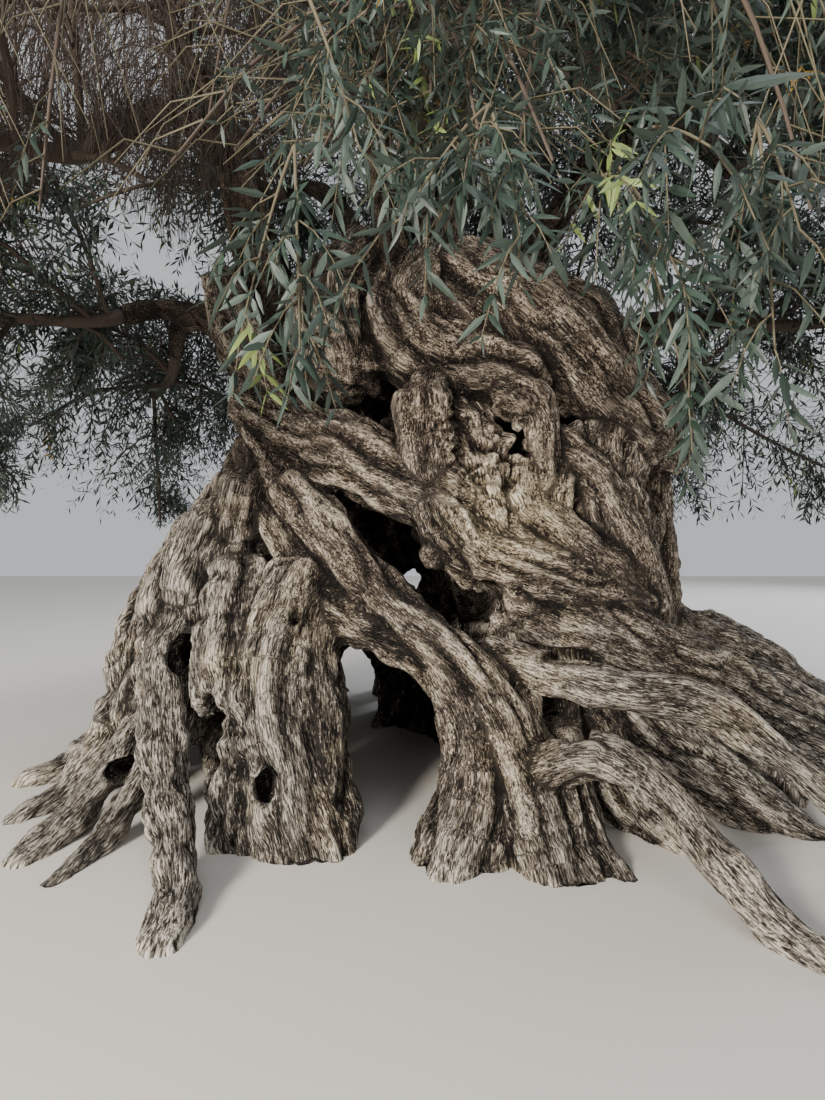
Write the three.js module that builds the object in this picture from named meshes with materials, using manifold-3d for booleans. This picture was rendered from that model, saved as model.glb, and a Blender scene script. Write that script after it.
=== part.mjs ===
// An ancient olive tree: a hollow trunk of fused strands that runs out into a root flare, the boughs that
// leave its head, and the crown as masses of twigs and leaves. Millimetres, +Z up, ground at Z = 0, and
// -Y is the side with the archway. The origin is in the flat cut under the solid right half of the trunk.
// The trunk is made as one solid, then parted into its walls, which stand round the hollow.
import * as THREE from "three";
import { mergeVertices } from "three/addons/utils/BufferGeometryUtils.js";
import Module from "manifold-3d";

const wasm = await Module();
wasm.setup();

// Driving dimensions
const GAP = 0.3; // clear space left where one piece meets the next
const SNAP = 0.001; // corners that are closer than this are one corner
const GROUND = { across: 12000, deep: 400 }; // the block below the ground that cuts the feet off flat
const HEAD = [-350, 0, 3400]; // the middle of the trunk's head, where the boughs leave it
const STRAND_SIDES = 6; // corners round a strand that is seen from the front
const RULED_SIDES = 5; // corners round a root or a back strand that is worked out by rule
const DOME = { long: 0.6, wide: 0.62 }; // a strand's rounded end, as shares of its radius there
const BALL_FACES = [10, 6]; // round and up an ellipsoid
const STEEP = 0.8; // a limb that starts more upright than this has its corners counted from +X
const CROWN = { centre: [-350, 150, 3000], reach: [4300, 3950, 3500] }; // outer dome of the crown
const SHADE = { centre: [-350, 0, 1300], reach: [3400, 3400, 2550] }; // the open dome under the crown
const CROWN_FOOT = { low: 1780, front: 2150, narrow: 4 }; // how low the crown hangs: higher in front
// The crown's outline swells and sinks: depth as a share of its reach, waves round and per metre of height.
const LUMPS = { depth: 0.07, round: 5, lean: 1.3, rise: 1.7, phase: 0.8, mean: 0.25 };
const CELL_MARGIN = 12; // half the clear space between two masses
const LIMB_MARGIN = 30; // clear space round a limb that passes a twig or a leaf
const GOLDEN_ANGLE = Math.PI * (3 - Math.sqrt(5));
const LIMB_PARTS = 6; // straight pieces that a limb is tested as
const HALVINGS = 14; // steps of the search for the last point that lies inside a space
const FIT_AT = [0.3, 0.4, 0.5, 0.6, 0.7, 0.8, 0.9, 1]; // the places along a twig that are tested

// Colours and finish, from the photograph
const BARK = { color: 0x8a7660, roughness: 0.95, metalness: 0 };
const LIMB_BARK = { color: 0x5c4a3b, roughness: 0.95, metalness: 0 };
const FOLIAGE = { color: 0x66775a, roughness: 0.6, metalness: 0 };
const BARE_TWIG = { color: 0x7a6654, roughness: 0.9, metalness: 0 };

// Strands of the trunk that are seen from the front. A station is x, y, z and radius.
const FRONT_STRANDS = {
  crossingLimb: [
    [-1180, -700, 1860, 150],
    [-610, -1050, 1220, 155],
    [-50, -1250, 740, 175],
    [190, -1500, 120, 210],
    [260, -1650, -150, 250],
  ],
  underLimb: [
    [-1440, -550, 1830, 140],
    [-900, -930, 1130, 130],
    [-320, -1180, 850, 145],
    [-130, -1350, 420, 175],
    [-230, -1530, -120, 270],
  ],
  leftButtress: [
    [-1130, -850, 1230, 230],
    [-1240, -1050, 750, 290],
    [-1140, -1250, 360, 260],
    [-950, -1450, -150, 260],
  ],
  outerButtress: [
    [-1510, -750, 1290, 200],
    [-1490, -1000, 860, 220],
    [-1390, -1350, 190, 120],
    [-1290, -1480, -150, 140],
  ],
  innerButtress: [
    [-1020, -900, 1150, 120],
    [-910, -1250, 350, 155],
    [-930, -1450, -150, 190],
  ],
  longRoot: [
    [-1880, -550, 1200, 150],
    [-1930, -900, 840, 140],
    [-1700, -1450, 340, 125],
    [-1440, -1950, 40, 100],
    [-1400, -2260, -60, 60],
  ],
  leftBand: [
    [-1560, -280, 2480, 200],
    [-900, -680, 2090, 255],
    [-250, -930, 1800, 220],
  ],
  leftBulge: [
    [-750, -150, 3500, 310],
    [-960, -400, 3070, 340],
    [-870, -540, 2720, 270],
  ],
  leftShoulder: [
    [-1830, 60, 3450, 180],
    [-1600, -100, 2960, 235],
    [-1220, -380, 2350, 210],
  ],
  brow: [
    [-400, -250, 3370, 310],
    [-530, -530, 2950, 260],
    [-280, -680, 2640, 260],
    [180, -720, 2560, 240],
  ],
  rightShoulder: [
    [-50, -300, 3330, 320],
    [330, -500, 2970, 330],
    [950, -550, 2320, 300],
    [1200, -450, 2170, 190],
  ],
  rightCrest: [
    [200, 0, 3500, 220],
    [800, -20, 3200, 260],
    [1150, -100, 2400, 220],
  ],
  knobColumn: [
    [-380, -950, 2320, 185],
    [-340, -970, 1850, 150],
    [-130, -1050, 1480, 180],
    [330, -1020, 1350, 200],
    [880, -750, 1190, 190],
  ],
  rightKnob: [
    [120, -880, 2420, 120],
    [240, -925, 2360, 145],
    [345, -935, 2020, 95],
    [230, -980, 1700, 100],
  ],
  burl: [
    [-190, -820, 2230, 200],
    [-60, -880, 1980, 195],
    [-20, -900, 1740, 190],
  ],
  rightFlank: [
    [770, -560, 2250, 260],
    [670, -680, 1820, 310],
    [820, -650, 1440, 290],
    [1060, -550, 1220, 170],
  ],
  rightEdge: [
    [1100, -250, 2300, 200],
    [1120, -320, 1780, 215],
    [1150, -350, 1100, 260],
  ],
  innerFlank: [
    [470, -720, 2120, 200],
    [340, -860, 1620, 240],
    [500, -850, 1150, 240],
  ],
  rootPlateFront: [
    [60, -1000, 1250, 170],
    [800, -900, 980, 220],
    [2100, -650, 350, 200],
    [2700, -600, -100, 150],
  ],
  rootPlateBack: [
    [900, -150, 980, 320],
    [1950, -100, 640, 270],
    [2600, -100, 230, 220],
    [3200, -100, -120, 130],
  ],
  upperRoot: [
    [0, -1150, 920, 110],
    [640, -1350, 760, 120],
    [1040, -1400, 700, 115],
    [1560, -1620, 320, 75],
    [1900, -1750, -40, 50],
  ],
  lowerRoot: [
    [40, -1350, 610, 80],
    [100, -1450, 380, 115],
    [430, -1600, 510, 120],
    [640, -1700, 440, 95],
    [900, -2100, 110, 80],
    [1100, -2420, -30, 55],
  ],
};

// Four like strands stand side by side down the trunk's left edge, from the first to the last.
const LEFT_PIPES = {
  count: 4,
  first: [
    [-1320, -400, 2180, 140],
    [-1500, -500, 1830, 160],
    [-1590, -650, 1440, 180],
    [-1500, -800, 900, 200],
  ],
  last: [
    [-2040, -100, 1650, 130],
    [-2180, -300, 1220, 180],
    [-2230, -500, 780, 190],
    [-2300, -600, 200, 220],
  ],
};

// Roots worked out by rule: each leaves the trunk's wall at `head` and runs down to `foot` on the ground.
const FLARE_ROOTS = [
  { foot: [-2650, -1150], head: [-2050, -250, 1350], thick: [90, 200], hug: 1.7 },
  { foot: [-2350, -1600], head: [-2000, -550, 950], thick: [70, 170], hug: 1.6 },
  { foot: [-2080, -1800], head: [-1850, -850, 620], thick: [60, 150], hug: 1.5 },
  { foot: [-2900, -600], head: [-2000, 0, 1400], thick: [110, 230], hug: 1.7 },
  { foot: [-2950, 200], head: [-1950, 200, 1300], thick: [100, 230], hug: 1.7 },
  { foot: [2950, 500], head: [850, 200, 1350], thick: [120, 360], hug: 1.25 },
  { foot: [2900, -1050], head: [850, -500, 900], thick: [110, 300], hug: 1.1 },
  { foot: [1750, -1350], head: [650, -850, 700], thick: [120, 260], hug: 1.2 },
  { foot: [950, -1450], head: [450, -850, 800], thick: [150, 260], hug: 1.4 },
  { foot: [520, -1720], head: [300, -1150, 560], thick: [110, 190], hug: 1.3 },
];
// A root's foot sinks by this share of its radius, and it falls by this power of the way that is left.
const ROOT_LINE = { steps: 4, fall: 1.25, sink: 0.7 };
// The hidden back carries the same kind of strands, spread by angle from the right round to the left. A
// station is its share of the twist, of the waist's radius, of the top's height and of the strand's radius.
const BACK_STRANDS = {
  ...{ count: 8, from: 103, to: 257, waist: 1060, top: 3200, radius: 290, wide: 1.15 },
  ...{ twist: 30, scatter: 12, topDrop: 400, bulge: 0.14, fat: [0.8, 1.25] },
  stations: [[1, 0.62, 1, 1.05], [0.6, 1.02, 0.66, 1], [0, 1, 0.4, 0.95], [-0.4, 1.35, 0.16, 0.85]],
  foot: { reach: [1880, 2700], radius: 150, sink: 0.8 },
};

// The wood between the strands, as ellipsoids: centre, then half sizes.
const HEARTWOOD = [
  [[-350, 60, 2750], [1150, 830, 800]],
  [[450, 50, 750], [950, 880, 1850]],
  [[-1500, 0, 900], [560, 720, 1500]],
  [[-550, 720, 1000], [1250, 480, 2000]],
  [[1300, -250, 100], [1250, 800, 700]],
];
// The hollow inside, the window over the crossing limb, the archway under it, two ways out at the back,
// the dark pocket under the left bulge and the opening under the upper right root.
const HOLLOWS = [
  [[-720, -150, 650], [640, 850, 1250]],
  [[-420, -700, 1420], [440, 620, 330]],
  [[-600, -1000, 300], [370, 700, 760]],
  [[-470, 900, 1240], [120, 700, 120]],
  [[-1000, 1000, 150], [260, 1100, 520]],
  [[-620, -650, 2440], [260, 330, 190]],
  [[620, -1050, 420], [170, 330, 190]],
];

// The sides that the crown's masses lie on, clockwise from the front: a ring round its rim and one above.
const RIM = [
  ...["front", "right_front", "right", "right_back", "back_right"],
  ...["back_left", "left_back", "left", "left_front"],
];
const TOP = ["front", "right_front", "right_back", "back", "left_back", "left_front"];
const RINGS = [
  { name: "rim", sides: RIM, radius: 3200, height: 3050 },
  { name: "top", sides: TOP, radius: 1850, height: 4850 },
];
const APEX_HEIGHT = 5750;
const BARE = ["rim_left_front", "top_left_front"]; // these masses show only twigs

// Boughs that leave the trunk's head, and the masses that each one feeds.
const BOUGHS = {
  left: {
    stations: [[-1400, 50, 3100, 220], [-1590, -60, 3800, 170], [-1700, -130, 4250, 135]],
    feeds: ["rim_left_front", "top_left_front"],
  },
  left_low: {
    stations: [[-1650, 250, 2750, 200], [-1980, 420, 3300, 150], [-2250, 520, 3450, 120]],
    feeds: ["rim_left", "rim_left_back"],
  },
  middle_left: {
    stations: [[-700, 200, 3150, 150], [-900, 260, 3950, 110], [-1050, 380, 4300, 95]],
    feeds: ["top_left_back"],
  },
  centre: {
    stations: [[-320, -100, 3100, 270], [-260, -180, 3900, 225], [-150, -240, 4450, 180]],
    feeds: ["apex", "top_front"],
  },
  front: {
    stations: [[-520, -200, 3250, 150], [-650, -700, 3780, 115], [-640, -1150, 3960, 95]],
    feeds: ["rim_front"],
  },
  right_upper: {
    stations: [[250, 200, 3100, 210], [480, 260, 3800, 150], [700, 260, 4150, 125]],
    feeds: ["top_right_front", "top_right_back", "rim_right_front"],
  },
  right: {
    stations: [[850, 250, 2850, 190], [1380, 500, 3270, 135], [1750, 620, 3400, 115]],
    feeds: ["rim_right", "rim_right_back"],
  },
  back: {
    stations: [[-350, 650, 2800, 230], [-330, 1150, 3400, 165], [-300, 1400, 3800, 135]],
    feeds: ["rim_back_right", "rim_back_left", "top_back"],
  },
};
const LIMB_RINGS = { sides: 5, perSpan: 2 };
// A branch, from its bough's fork to its mass. `deep` is how far its tip enters the mass.
const BRANCH = {
  foot: 95,
  ofFork: 0.8,
  middle: 0.75,
  tip: 60,
  shortest: 600,
  deep: 72,
  bendAt: 0.45,
  bend: 0.14,
  rise: 0.05,
};

// A mass: its stem, its twigs, and the shoots or the leaves that they carry.
const STEM = { foot: 58, tip: 34, straight: 250, reach: 0.9, sides: 5 };
const TWIGS = { foot: 20, tip: 13, leafy: 7, bare: 9, from: 0.25, to: 0.95, far: 3200, sides: 3 };
// A twig's middle lies above its chord, or below it where it points lower than `low`.
const TWIG_BEND = { arch: 0.1, sag: -0.03, low: -0.3 };
const SHOOTS = { foot: 9, tip: 6, count: 2, turn: 3, at: [0.4, 0.7] };
const SHOOT_WAY = { long: 650, spread: 0.8, fall: 0.7, arch: 50 };
const LEAVES = { at: [0.58, 0.93], tries: 8, forward: 0.7, tilt: 0.3, wave: { up: 0.35, turns: 2.3 } };
// Each leaf stands for a spray of real leaves. `widest` and `ridge` lie along it, as shares of its length.
const LEAF = {
  long: 780,
  wide: 290,
  thick: 22,
  sunk: 5,
  widest: 0.42,
  ridge: 0.36,
  lens: 0.6,
  tested: [0.25, 0.5, 0.75, 1],
};

// Where the trunk is parted: under its head, at the window's sill, and to the left, right, front and back
// of the hollow.
const PARTED = { head: 1620, sill: 1370, left: -1150, right: -300, front: -400, back: 300 };
const FAR = GROUND.across / 2;
const WALLS = {
  trunk_head: [[-FAR, -FAR, PARTED.head], [FAR, FAR, FAR]],
  trunk_right: [[PARTED.right, -FAR, -FAR], [FAR, FAR, PARTED.head]],
  trunk_left: [[-FAR, -FAR, -FAR], [PARTED.left, FAR, PARTED.head]],
  trunk_jamb: [[PARTED.left, -FAR, PARTED.sill], [PARTED.right, PARTED.front, PARTED.head]],
  trunk_front: [[PARTED.left, -FAR, -FAR], [PARTED.right, PARTED.front, PARTED.sill]],
  trunk_back: [[PARTED.left, PARTED.back, -FAR], [PARTED.right, FAR, PARTED.head]],
};

// Where the middle of each mass lies.
function massCentres() {
  const centres = { apex: new THREE.Vector3(HEAD[0], HEAD[1], APEX_HEIGHT) };
  for (const { name, sides, radius, height } of RINGS)
    sides.forEach((side, k) => {
      const a = (k / sides.length) * Math.PI * 2;
      const [x, y] = [HEAD[0] + radius * Math.sin(a), HEAD[1] - radius * Math.cos(a)];
      centres[`${name}_${side}`] = new THREE.Vector3(x, y, height);
    });
  return centres;
}
const CENTRES = massCentres();

// A fixed share from 0 to 1 for a pair of whole numbers, so that growth is the same on every run.
function share(a, b) {
  const s = Math.sin(a * 127.1 + b * 311.7) * 43758.5453;
  return s - Math.floor(s);
}

const vector = ([x, y, z]) => new THREE.Vector3(x, y, z);
const station = (v, radius) => [v.x, v.y, v.z, radius];
const smooth = (points) => new THREE.CatmullRomCurve3(points, false, "centripetal");

// Turns a closed geometry into a solid, and back into a named mesh.
function solidOf(geometry) {
  const bare = geometry.index ? geometry.toNonIndexed() : geometry.clone();
  for (const name of ["normal", "uv"]) bare.deleteAttribute(name);
  const merged = mergeVertices(bare, SNAP);
  return new wasm.Manifold(
    new wasm.Mesh({
      numProp: 3,
      vertProperties: new Float32Array(merged.attributes.position.array),
      triVerts: new Uint32Array(merged.index.array),
    }),
  );
}

function meshOf(solid, name, finish) {
  const { vertProperties, triVerts } = solid.getMesh();
  const geometry = new THREE.BufferGeometry();
  geometry.setAttribute("position", new THREE.BufferAttribute(vertProperties, 3));
  geometry.setIndex(new THREE.BufferAttribute(triVerts, 1));
  geometry.computeVertexNormals();
  const mesh = new THREE.Mesh(geometry, new THREE.MeshStandardMaterial(finish));
  mesh.name = name;
  return mesh;
}

function facetted(corners, faces) {
  const geometry = new THREE.BufferGeometry().setFromPoints(corners);
  geometry.setIndex(faces.flat());
  return solidOf(geometry);
}

const joined = (solids) => solids.reduce((a, b) => a.add(b));

// The largest of a solid's separate bodies: loose scraps go, and a space that is sealed is filled.
const largest = (solid) => solid.decompose().reduce((a, b) => (b.volume() > a.volume() ? b : a));

// A tapering limb: rings of `sides` corners round a smooth curve through the stations, `perSpan` rings to
// a span, with flat or domed ends. `grow` adds to every radius and lengthens both ends.
function limb(stations, { sides = STRAND_SIDES, perSpan = 1, grow = 0, domed = false } = {}) {
  const curve = smooth(stations.map(vector));
  const spans = stations.length - 1;
  const rings = [];
  for (let i = 0; i <= spans * perSpan; i++) {
    const t = i / (spans * perSpan);
    const k = Math.min(Math.floor(t * spans), spans - 1);
    const radius = THREE.MathUtils.lerp(stations[k][3], stations[k + 1][3], t * spans - k) + grow;
    rings.push({ at: curve.getPoint(t), along: curve.getTangent(t), radius });
  }
  rings[0].at.addScaledVector(rings[0].along, -grow);
  rings[rings.length - 1].at.addScaledVector(rings[rings.length - 1].along, grow);
  const dome = ({ at, along, radius }, sign) => ({
    at: at.clone().addScaledVector(along, sign * radius * DOME.long),
    along,
    radius: radius * DOME.wide,
  });
  if (domed) {
    rings.unshift(dome(rings[0], -1));
    rings.push(dome(rings[rings.length - 1], 1));
  }
  const side = new THREE.Vector3(0, 0, 1);
  if (Math.abs(rings[0].along.z) > STEEP) side.set(1, 0, 0);
  const corners = [];
  for (const { at, along, radius } of rings) {
    side.addScaledVector(along, -side.dot(along)).normalize();
    const other = new THREE.Vector3().crossVectors(along, side);
    for (let j = 0; j < sides; j++) {
      const a = (j / sides) * Math.PI * 2;
      const corner = at.clone().addScaledVector(side, radius * Math.cos(a));
      corners.push(corner.addScaledVector(other, radius * Math.sin(a)));
    }
  }
  const faces = [];
  for (let i = 0; i < rings.length - 1; i++)
    for (let j = 0; j < sides; j++) {
      const a = i * sides + j;
      const b = i * sides + ((j + 1) % sides);
      faces.push([a, b, b + sides], [a, b + sides, a + sides]);
    }
  const last = (rings.length - 1) * sides;
  for (let j = 1; j < sides - 1; j++) faces.push([0, j + 1, j], [last, last + j, last + j + 1]);
  return facetted(corners, faces);
}

function ellipsoid([centre, half], grow) {
  const geometry = new THREE.SphereGeometry(1, ...BALL_FACES);
  geometry.rotateX(Math.PI / 2).scale(...half.map((h) => h + grow)).translate(...centre);
  return solidOf(geometry);
}

// The left pipes: each station lies evenly between those of the first pipe and the last.
function leftPipes() {
  const { count, first, last } = LEFT_PIPES;
  return Array.from({ length: count }, (_, k) =>
    first.map((from, i) => from.map((v, d) => THREE.MathUtils.lerp(v, last[i][d], k / (count - 1)))),
  );
}

// A root from its head on the wall to its foot: it falls steeply at first, then runs out along the ground.
function flareRoot({ foot, head, thick, hug }) {
  const { steps, fall, sink } = ROOT_LINE;
  return Array.from({ length: steps + 1 }, (_, i) => {
    const t = i / steps;
    const out = t ** hug;
    return [
      THREE.MathUtils.lerp(head[0], foot[0], out),
      THREE.MathUtils.lerp(head[1], foot[1], out),
      head[2] * (1 - t) ** fall - thick[0] * sink * t,
      THREE.MathUtils.lerp(thick[1], thick[0], t),
    ];
  });
}

// Strands of the back wall: from the head over the waist and out to the foot, each at its own angle.
function backStrands() {
  const { count, from, to, waist, top, radius, wide, twist, scatter, topDrop, bulge, fat, stations, foot } =
    BACK_STRANDS;
  return Array.from({ length: count }, (_, k) => {
    const [degrees, turn] = [from + ((to - from) * k) / (count - 1), twist * (share(k, 2) - 0.5)];
    const swell = THREE.MathUtils.lerp(...fat, share(k, 4));
    const at = (part, out, z, thick) => {
      const a = THREE.MathUtils.degToRad(degrees + scatter * (share(k, 1) - 0.5) + turn * part);
      return [HEAD[0] + wide * out * Math.sin(a), HEAD[1] - out * Math.cos(a), z, thick * swell];
    };
    const rows = stations.map(([part, out, high, thick], i) => {
      const drop = i === 0 ? topDrop * share(k, 5) : 0;
      const swollen = i === 2 ? bulge * share(k, 6) : 0;
      return at(part, waist * (out + swollen), top * high - drop, radius * thick);
    });
    const run = THREE.MathUtils.lerp(...foot.reach, share(k, 3));
    return [...rows, at(-1, run, -foot.radius * foot.sink, foot.radius)];
  });
}

// The whole trunk: heartwood and the back's strands, hollowed out, then the front's strands and roots laid
// over it, all cut flat at the ground. `grow` thickens everything for use as a cutter.
function trunkSolid(grow) {
  const strand = (stations) => limb(stations, { grow, domed: true });
  const ruled = (stations) => limb(stations, { sides: RULED_SIDES, grow, domed: true });
  const wall = joined([...HEARTWOOD.map((e) => ellipsoid(e, grow)), ...backStrands().map(ruled)]);
  const hollow = joined(HOLLOWS.map((e) => ellipsoid(e, -grow)));
  const seen = [...Object.values(FRONT_STRANDS), ...leftPipes()];
  const skin = joined([...seen.map(strand), ...FLARE_ROOTS.map((root) => ruled(flareRoot(root)))]);
  const { across, deep } = GROUND;
  const below = new THREE.BoxGeometry(across, across, deep).translate(0, 0, -deep / 2);
  return largest(wall.subtract(hollow).add(skin).subtract(solidOf(below)));
}

// The part of the trunk that lies in one wall's block, kept half a gap inside it.
function wallOf(trunk, [low, high]) {
  const size = high.map((v, d) => v - low[d] - GAP);
  const middle = high.map((v, d) => (v + low[d]) / 2);
  const block = new THREE.BoxGeometry(...size).translate(...middle);
  return largest(trunk.intersect(solidOf(block)));
}

// How deep a point lies in a dome: under 1 inside, 1 on its surface.
function depthIn({ centre, reach }, p) {
  return Math.hypot((p.x - centre[0]) / reach[0], (p.y - centre[1]) / reach[1], (p.z - centre[2]) / reach[2]);
}

// The crown's outline swells and sinks with direction, and its foot is higher in front.
function lumps(p) {
  const { depth, round, lean, rise, phase, mean } = LUMPS;
  const a = Math.atan2(p.x - HEAD[0], p.y - HEAD[1]);
  const tall = p.z / 1000;
  return 1 + depth * (Math.sin(round * a + lean * tall) * Math.cos(rise * tall + phase) - mean);
}

function crownFoot(p) {
  const facing = (HEAD[1] - p.y) / Math.max(Math.hypot(p.x - HEAD[0], p.y - HEAD[1]), 1);
  return THREE.MathUtils.lerp(CROWN_FOOT.low, CROWN_FOOT.front, Math.max(facing, 0) ** CROWN_FOOT.narrow);
}

// A mass keeps to the points nearer its own centre than any other, between the shade and the outline.
function inCell(name, p, margin) {
  if (p.z < crownFoot(p) + margin || depthIn(SHADE, p) < 1 || depthIn(CROWN, p) > lumps(p)) return false;
  const own = CENTRES[name];
  return Object.entries(CENTRES).every(([other, centre]) => {
    if (other === name) return true;
    const between = centre.clone().sub(own);
    return p.clone().sub(own).dot(between) / between.length() < between.length() / 2 - margin;
  });
}

// The last point from `inside` towards `goal` that the test still allows, found by halving.
function lastAllowed(inside, goal, test) {
  let [low, high] = [0, 1];
  for (let i = 0; i < HALVINGS; i++) {
    const mid = (low + high) / 2;
    if (test(inside.clone().lerp(goal, mid))) low = mid;
    else high = mid;
  }
  return inside.clone().lerp(goal, low);
}

// Every limb above the trunk: each bough to its fork, then a branch from there to the edge of each mass.
function limbPaths() {
  const paths = [];
  for (const [name, { stations, feeds }] of Object.entries(BOUGHS)) {
    paths.push({ name: "bough_" + name, stations });
    const [before, fork] = stations.slice(-2).map(vector);
    const onward = fork.clone().sub(before).normalize();
    const foot = Math.min(BRANCH.foot, stations[stations.length - 1][3] * BRANCH.ofFork);
    feeds.forEach((mass, i) => {
      const shortest = fork.clone().lerp(CENTRES[mass], BRANCH.shortest / fork.distanceTo(CENTRES[mass]));
      const entry = lastAllowed(CENTRES[mass], shortest, (p) => inCell(mass, p, BRANCH.deep));
      const length = fork.distanceTo(entry);
      const bend = fork.clone().lerp(entry, BRANCH.bendAt).addScaledVector(onward, length * BRANCH.bend);
      bend.z += length * BRANCH.rise * (i + 1);
      const middle = foot * BRANCH.middle;
      const route = [station(fork, foot), station(bend, middle), station(entry, BRANCH.tip)];
      paths.push({ name: "branch_" + mass, mass, stations: route });
    });
  }
  return paths;
}
const PATHS = limbPaths();

// Short straight pieces of every limb, for the test that a twig or a leaf keeps clear of it.
const OBSTACLES = PATHS.flatMap(({ stations }) => {
  const points = smooth(stations.map(vector)).getPoints(LIMB_PARTS);
  const radius = Math.max(...stations.map((s) => s[3]));
  return points.slice(1).map((b, i) => ({ line: new THREE.Line3(points[i], b), radius }));
});

function clearOfLimbs(p, margin) {
  const near = new THREE.Vector3();
  return OBSTACLES.every(({ line, radius }) => {
    line.closestPointToPoint(p, true, near);
    return near.distanceTo(p) > radius + margin + LIMB_MARGIN;
  });
}

// Whether a twig keeps to its mass's space and clear of the limbs, past its first part.
function twigFits(name, curve) {
  return FIT_AT.every((t) => {
    const p = curve.getPoint(t);
    return inCell(name, p, 2 * CELL_MARGIN) && clearOfLimbs(p, TWIGS.foot);
  });
}

// A leaf: a lens of eight faces on four edge corners, one rib corner above and one below.
function leafCorners(foot, along, flat) {
  const across = new THREE.Vector3().crossVectors(along, flat).normalize();
  const face = new THREE.Vector3().crossVectors(across, along).normalize();
  const { long, wide, thick, sunk, widest, ridge, lens } = LEAF;
  return [
    [-sunk, 0, 0],
    [long * widest, wide / 2, 0],
    [long, 0, 0],
    [long * widest, -wide / 2, 0],
    [long * ridge, 0, thick * lens],
    [long * ridge, 0, -thick * lens],
  ].map(([l, w, h]) =>
    foot.clone().addScaledVector(along, l).addScaledVector(across, w).addScaledVector(face, h),
  );
}
const LEAF_FACES = [0, 1, 2, 3].flatMap((i) => [
  [i, (i + 1) % 4, 4],
  [(i + 1) % 4, i, 5],
]);

// The twigs of a mass run from its stem to points spread evenly round its space, so they reach its edges.
function twigCurves(name, stem, count) {
  const middle = CENTRES[name];
  return Array.from({ length: count }, (_, k) => {
    const up = 1 - (2 * (k + 0.5)) / count;
    const level = Math.sqrt(1 - up * up);
    const turn = k * GOLDEN_ANGLE;
    const way = new THREE.Vector3(level * Math.cos(turn), level * Math.sin(turn), up);
    const goal = middle.clone().addScaledVector(way, TWIGS.far);
    const start = stem.getPoint(THREE.MathUtils.lerp(TWIGS.from, TWIGS.to, k / (count - 1)));
    const tip = lastAllowed(middle, goal, (p) => inCell(name, p, 3 * CELL_MARGIN));
    const bend = start.clone().lerp(tip, 0.5);
    bend.z += (up > TWIG_BEND.low ? TWIG_BEND.arch : TWIG_BEND.sag) * start.distanceTo(tip);
    return smooth([start, bend, tip]);
  }).filter((curve) => twigFits(name, curve));
}

// Shoots that hang from a bare twig.
function shootCurves(name, curve, seed) {
  const { count, turn, at } = SHOOTS;
  const { long, spread, fall, arch } = SHOOT_WAY;
  return Array.from({ length: count }, (_, i) => {
    const start = curve.getPoint(at[i]);
    const a = GOLDEN_ANGLE * (seed * turn + i);
    const away = new THREE.Vector3(spread * Math.cos(a), spread * Math.sin(a), -fall);
    const tip = start.clone().addScaledVector(curve.getTangent(at[i]).add(away).normalize(), long);
    const bend = start.clone().lerp(tip, 0.5);
    bend.z += arch;
    return smooth([start, bend, tip]);
  }).filter((shoot) => twigFits(name, shoot));
}

// The leaves of a twig: each takes the first of a few directions that keeps it inside the mass's space.
function leavesOn(name, curve, seed) {
  const { at, tries, forward, tilt, wave } = LEAVES;
  const turned = (t, a) => {
    const out = new THREE.Vector3(Math.cos(a), Math.sin(a), wave.up * Math.sin(wave.turns * a));
    const along = curve.getTangent(t).multiplyScalar(forward).add(out).normalize();
    const flat = new THREE.Vector3(tilt * Math.cos(a), tilt * Math.sin(a), 1);
    return leafCorners(curve.getPoint(t), along, flat);
  };
  const fits = ([foot, right, tip, left]) =>
    [foot, right, tip, left].every((p) => inCell(name, p, CELL_MARGIN)) &&
    LEAF.tested.every((t) => clearOfLimbs(foot.clone().lerp(tip, t), LEAF.wide / 2));
  return at
    .map((t, i) => {
      const first = seed * at.length + i;
      const ways = Array.from({ length: tries }, (_, n) => turned(t, GOLDEN_ANGLE * (first + n)));
      return ways.find(fits);
    })
    .filter((corners) => corners)
    .map((corners) => facetted(corners, LEAF_FACES));
}

function twigSolid(curve, { foot, tip, sides = TWIGS.sides }) {
  const stations = [0, 0.5, 1].map((t) => station(curve.getPoint(t), THREE.MathUtils.lerp(foot, tip, t)));
  return limb(stations, { sides });
}

// One mass: a stem that takes over from its branch's tip, the twigs it carries, and their leaves.
function massSolid({ mass, stations }) {
  const bare = BARE.includes(mass);
  const [before, tip] = stations.slice(-2).map(vector);
  const ahead = tip.clone().sub(before).normalize();
  const start = tip.clone().addScaledVector(ahead, GAP);
  const next = start.clone().addScaledVector(ahead, STEM.straight);
  const stem = smooth([start, next, next.clone().lerp(CENTRES[mass], STEM.reach)]);
  const solids = [twigSolid(stem, STEM)];
  twigCurves(mass, stem, bare ? TWIGS.bare : TWIGS.leafy).forEach((curve, k) => {
    solids.push(twigSolid(curve, TWIGS));
    if (bare) solids.push(...shootCurves(mass, curve, k).map((shoot) => twigSolid(shoot, SHOOTS)));
    else solids.push(...leavesOn(mass, curve, k));
  });
  return largest(joined(solids));
}

function oliveTree() {
  const tree = new THREE.Group();
  const trunk = trunkSolid(0);
  for (const [name, block] of Object.entries(WALLS)) tree.add(meshOf(wallOf(trunk, block), name, BARK));
  const cutters = [trunkSolid(GAP)];
  for (const { name, stations } of PATHS) {
    const clear = limb(stations, LIMB_RINGS).subtract(joined(cutters));
    tree.add(meshOf(largest(clear), name, LIMB_BARK));
    cutters.push(limb(stations, { ...LIMB_RINGS, grow: GAP }));
  }
  for (const path of PATHS.filter(({ mass }) => mass)) {
    const finish = BARE.includes(path.mass) ? BARE_TWIG : FOLIAGE;
    tree.add(meshOf(massSolid(path), "mass_" + path.mass, finish));
  }
  return tree;
}

export default oliveTree();
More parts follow.
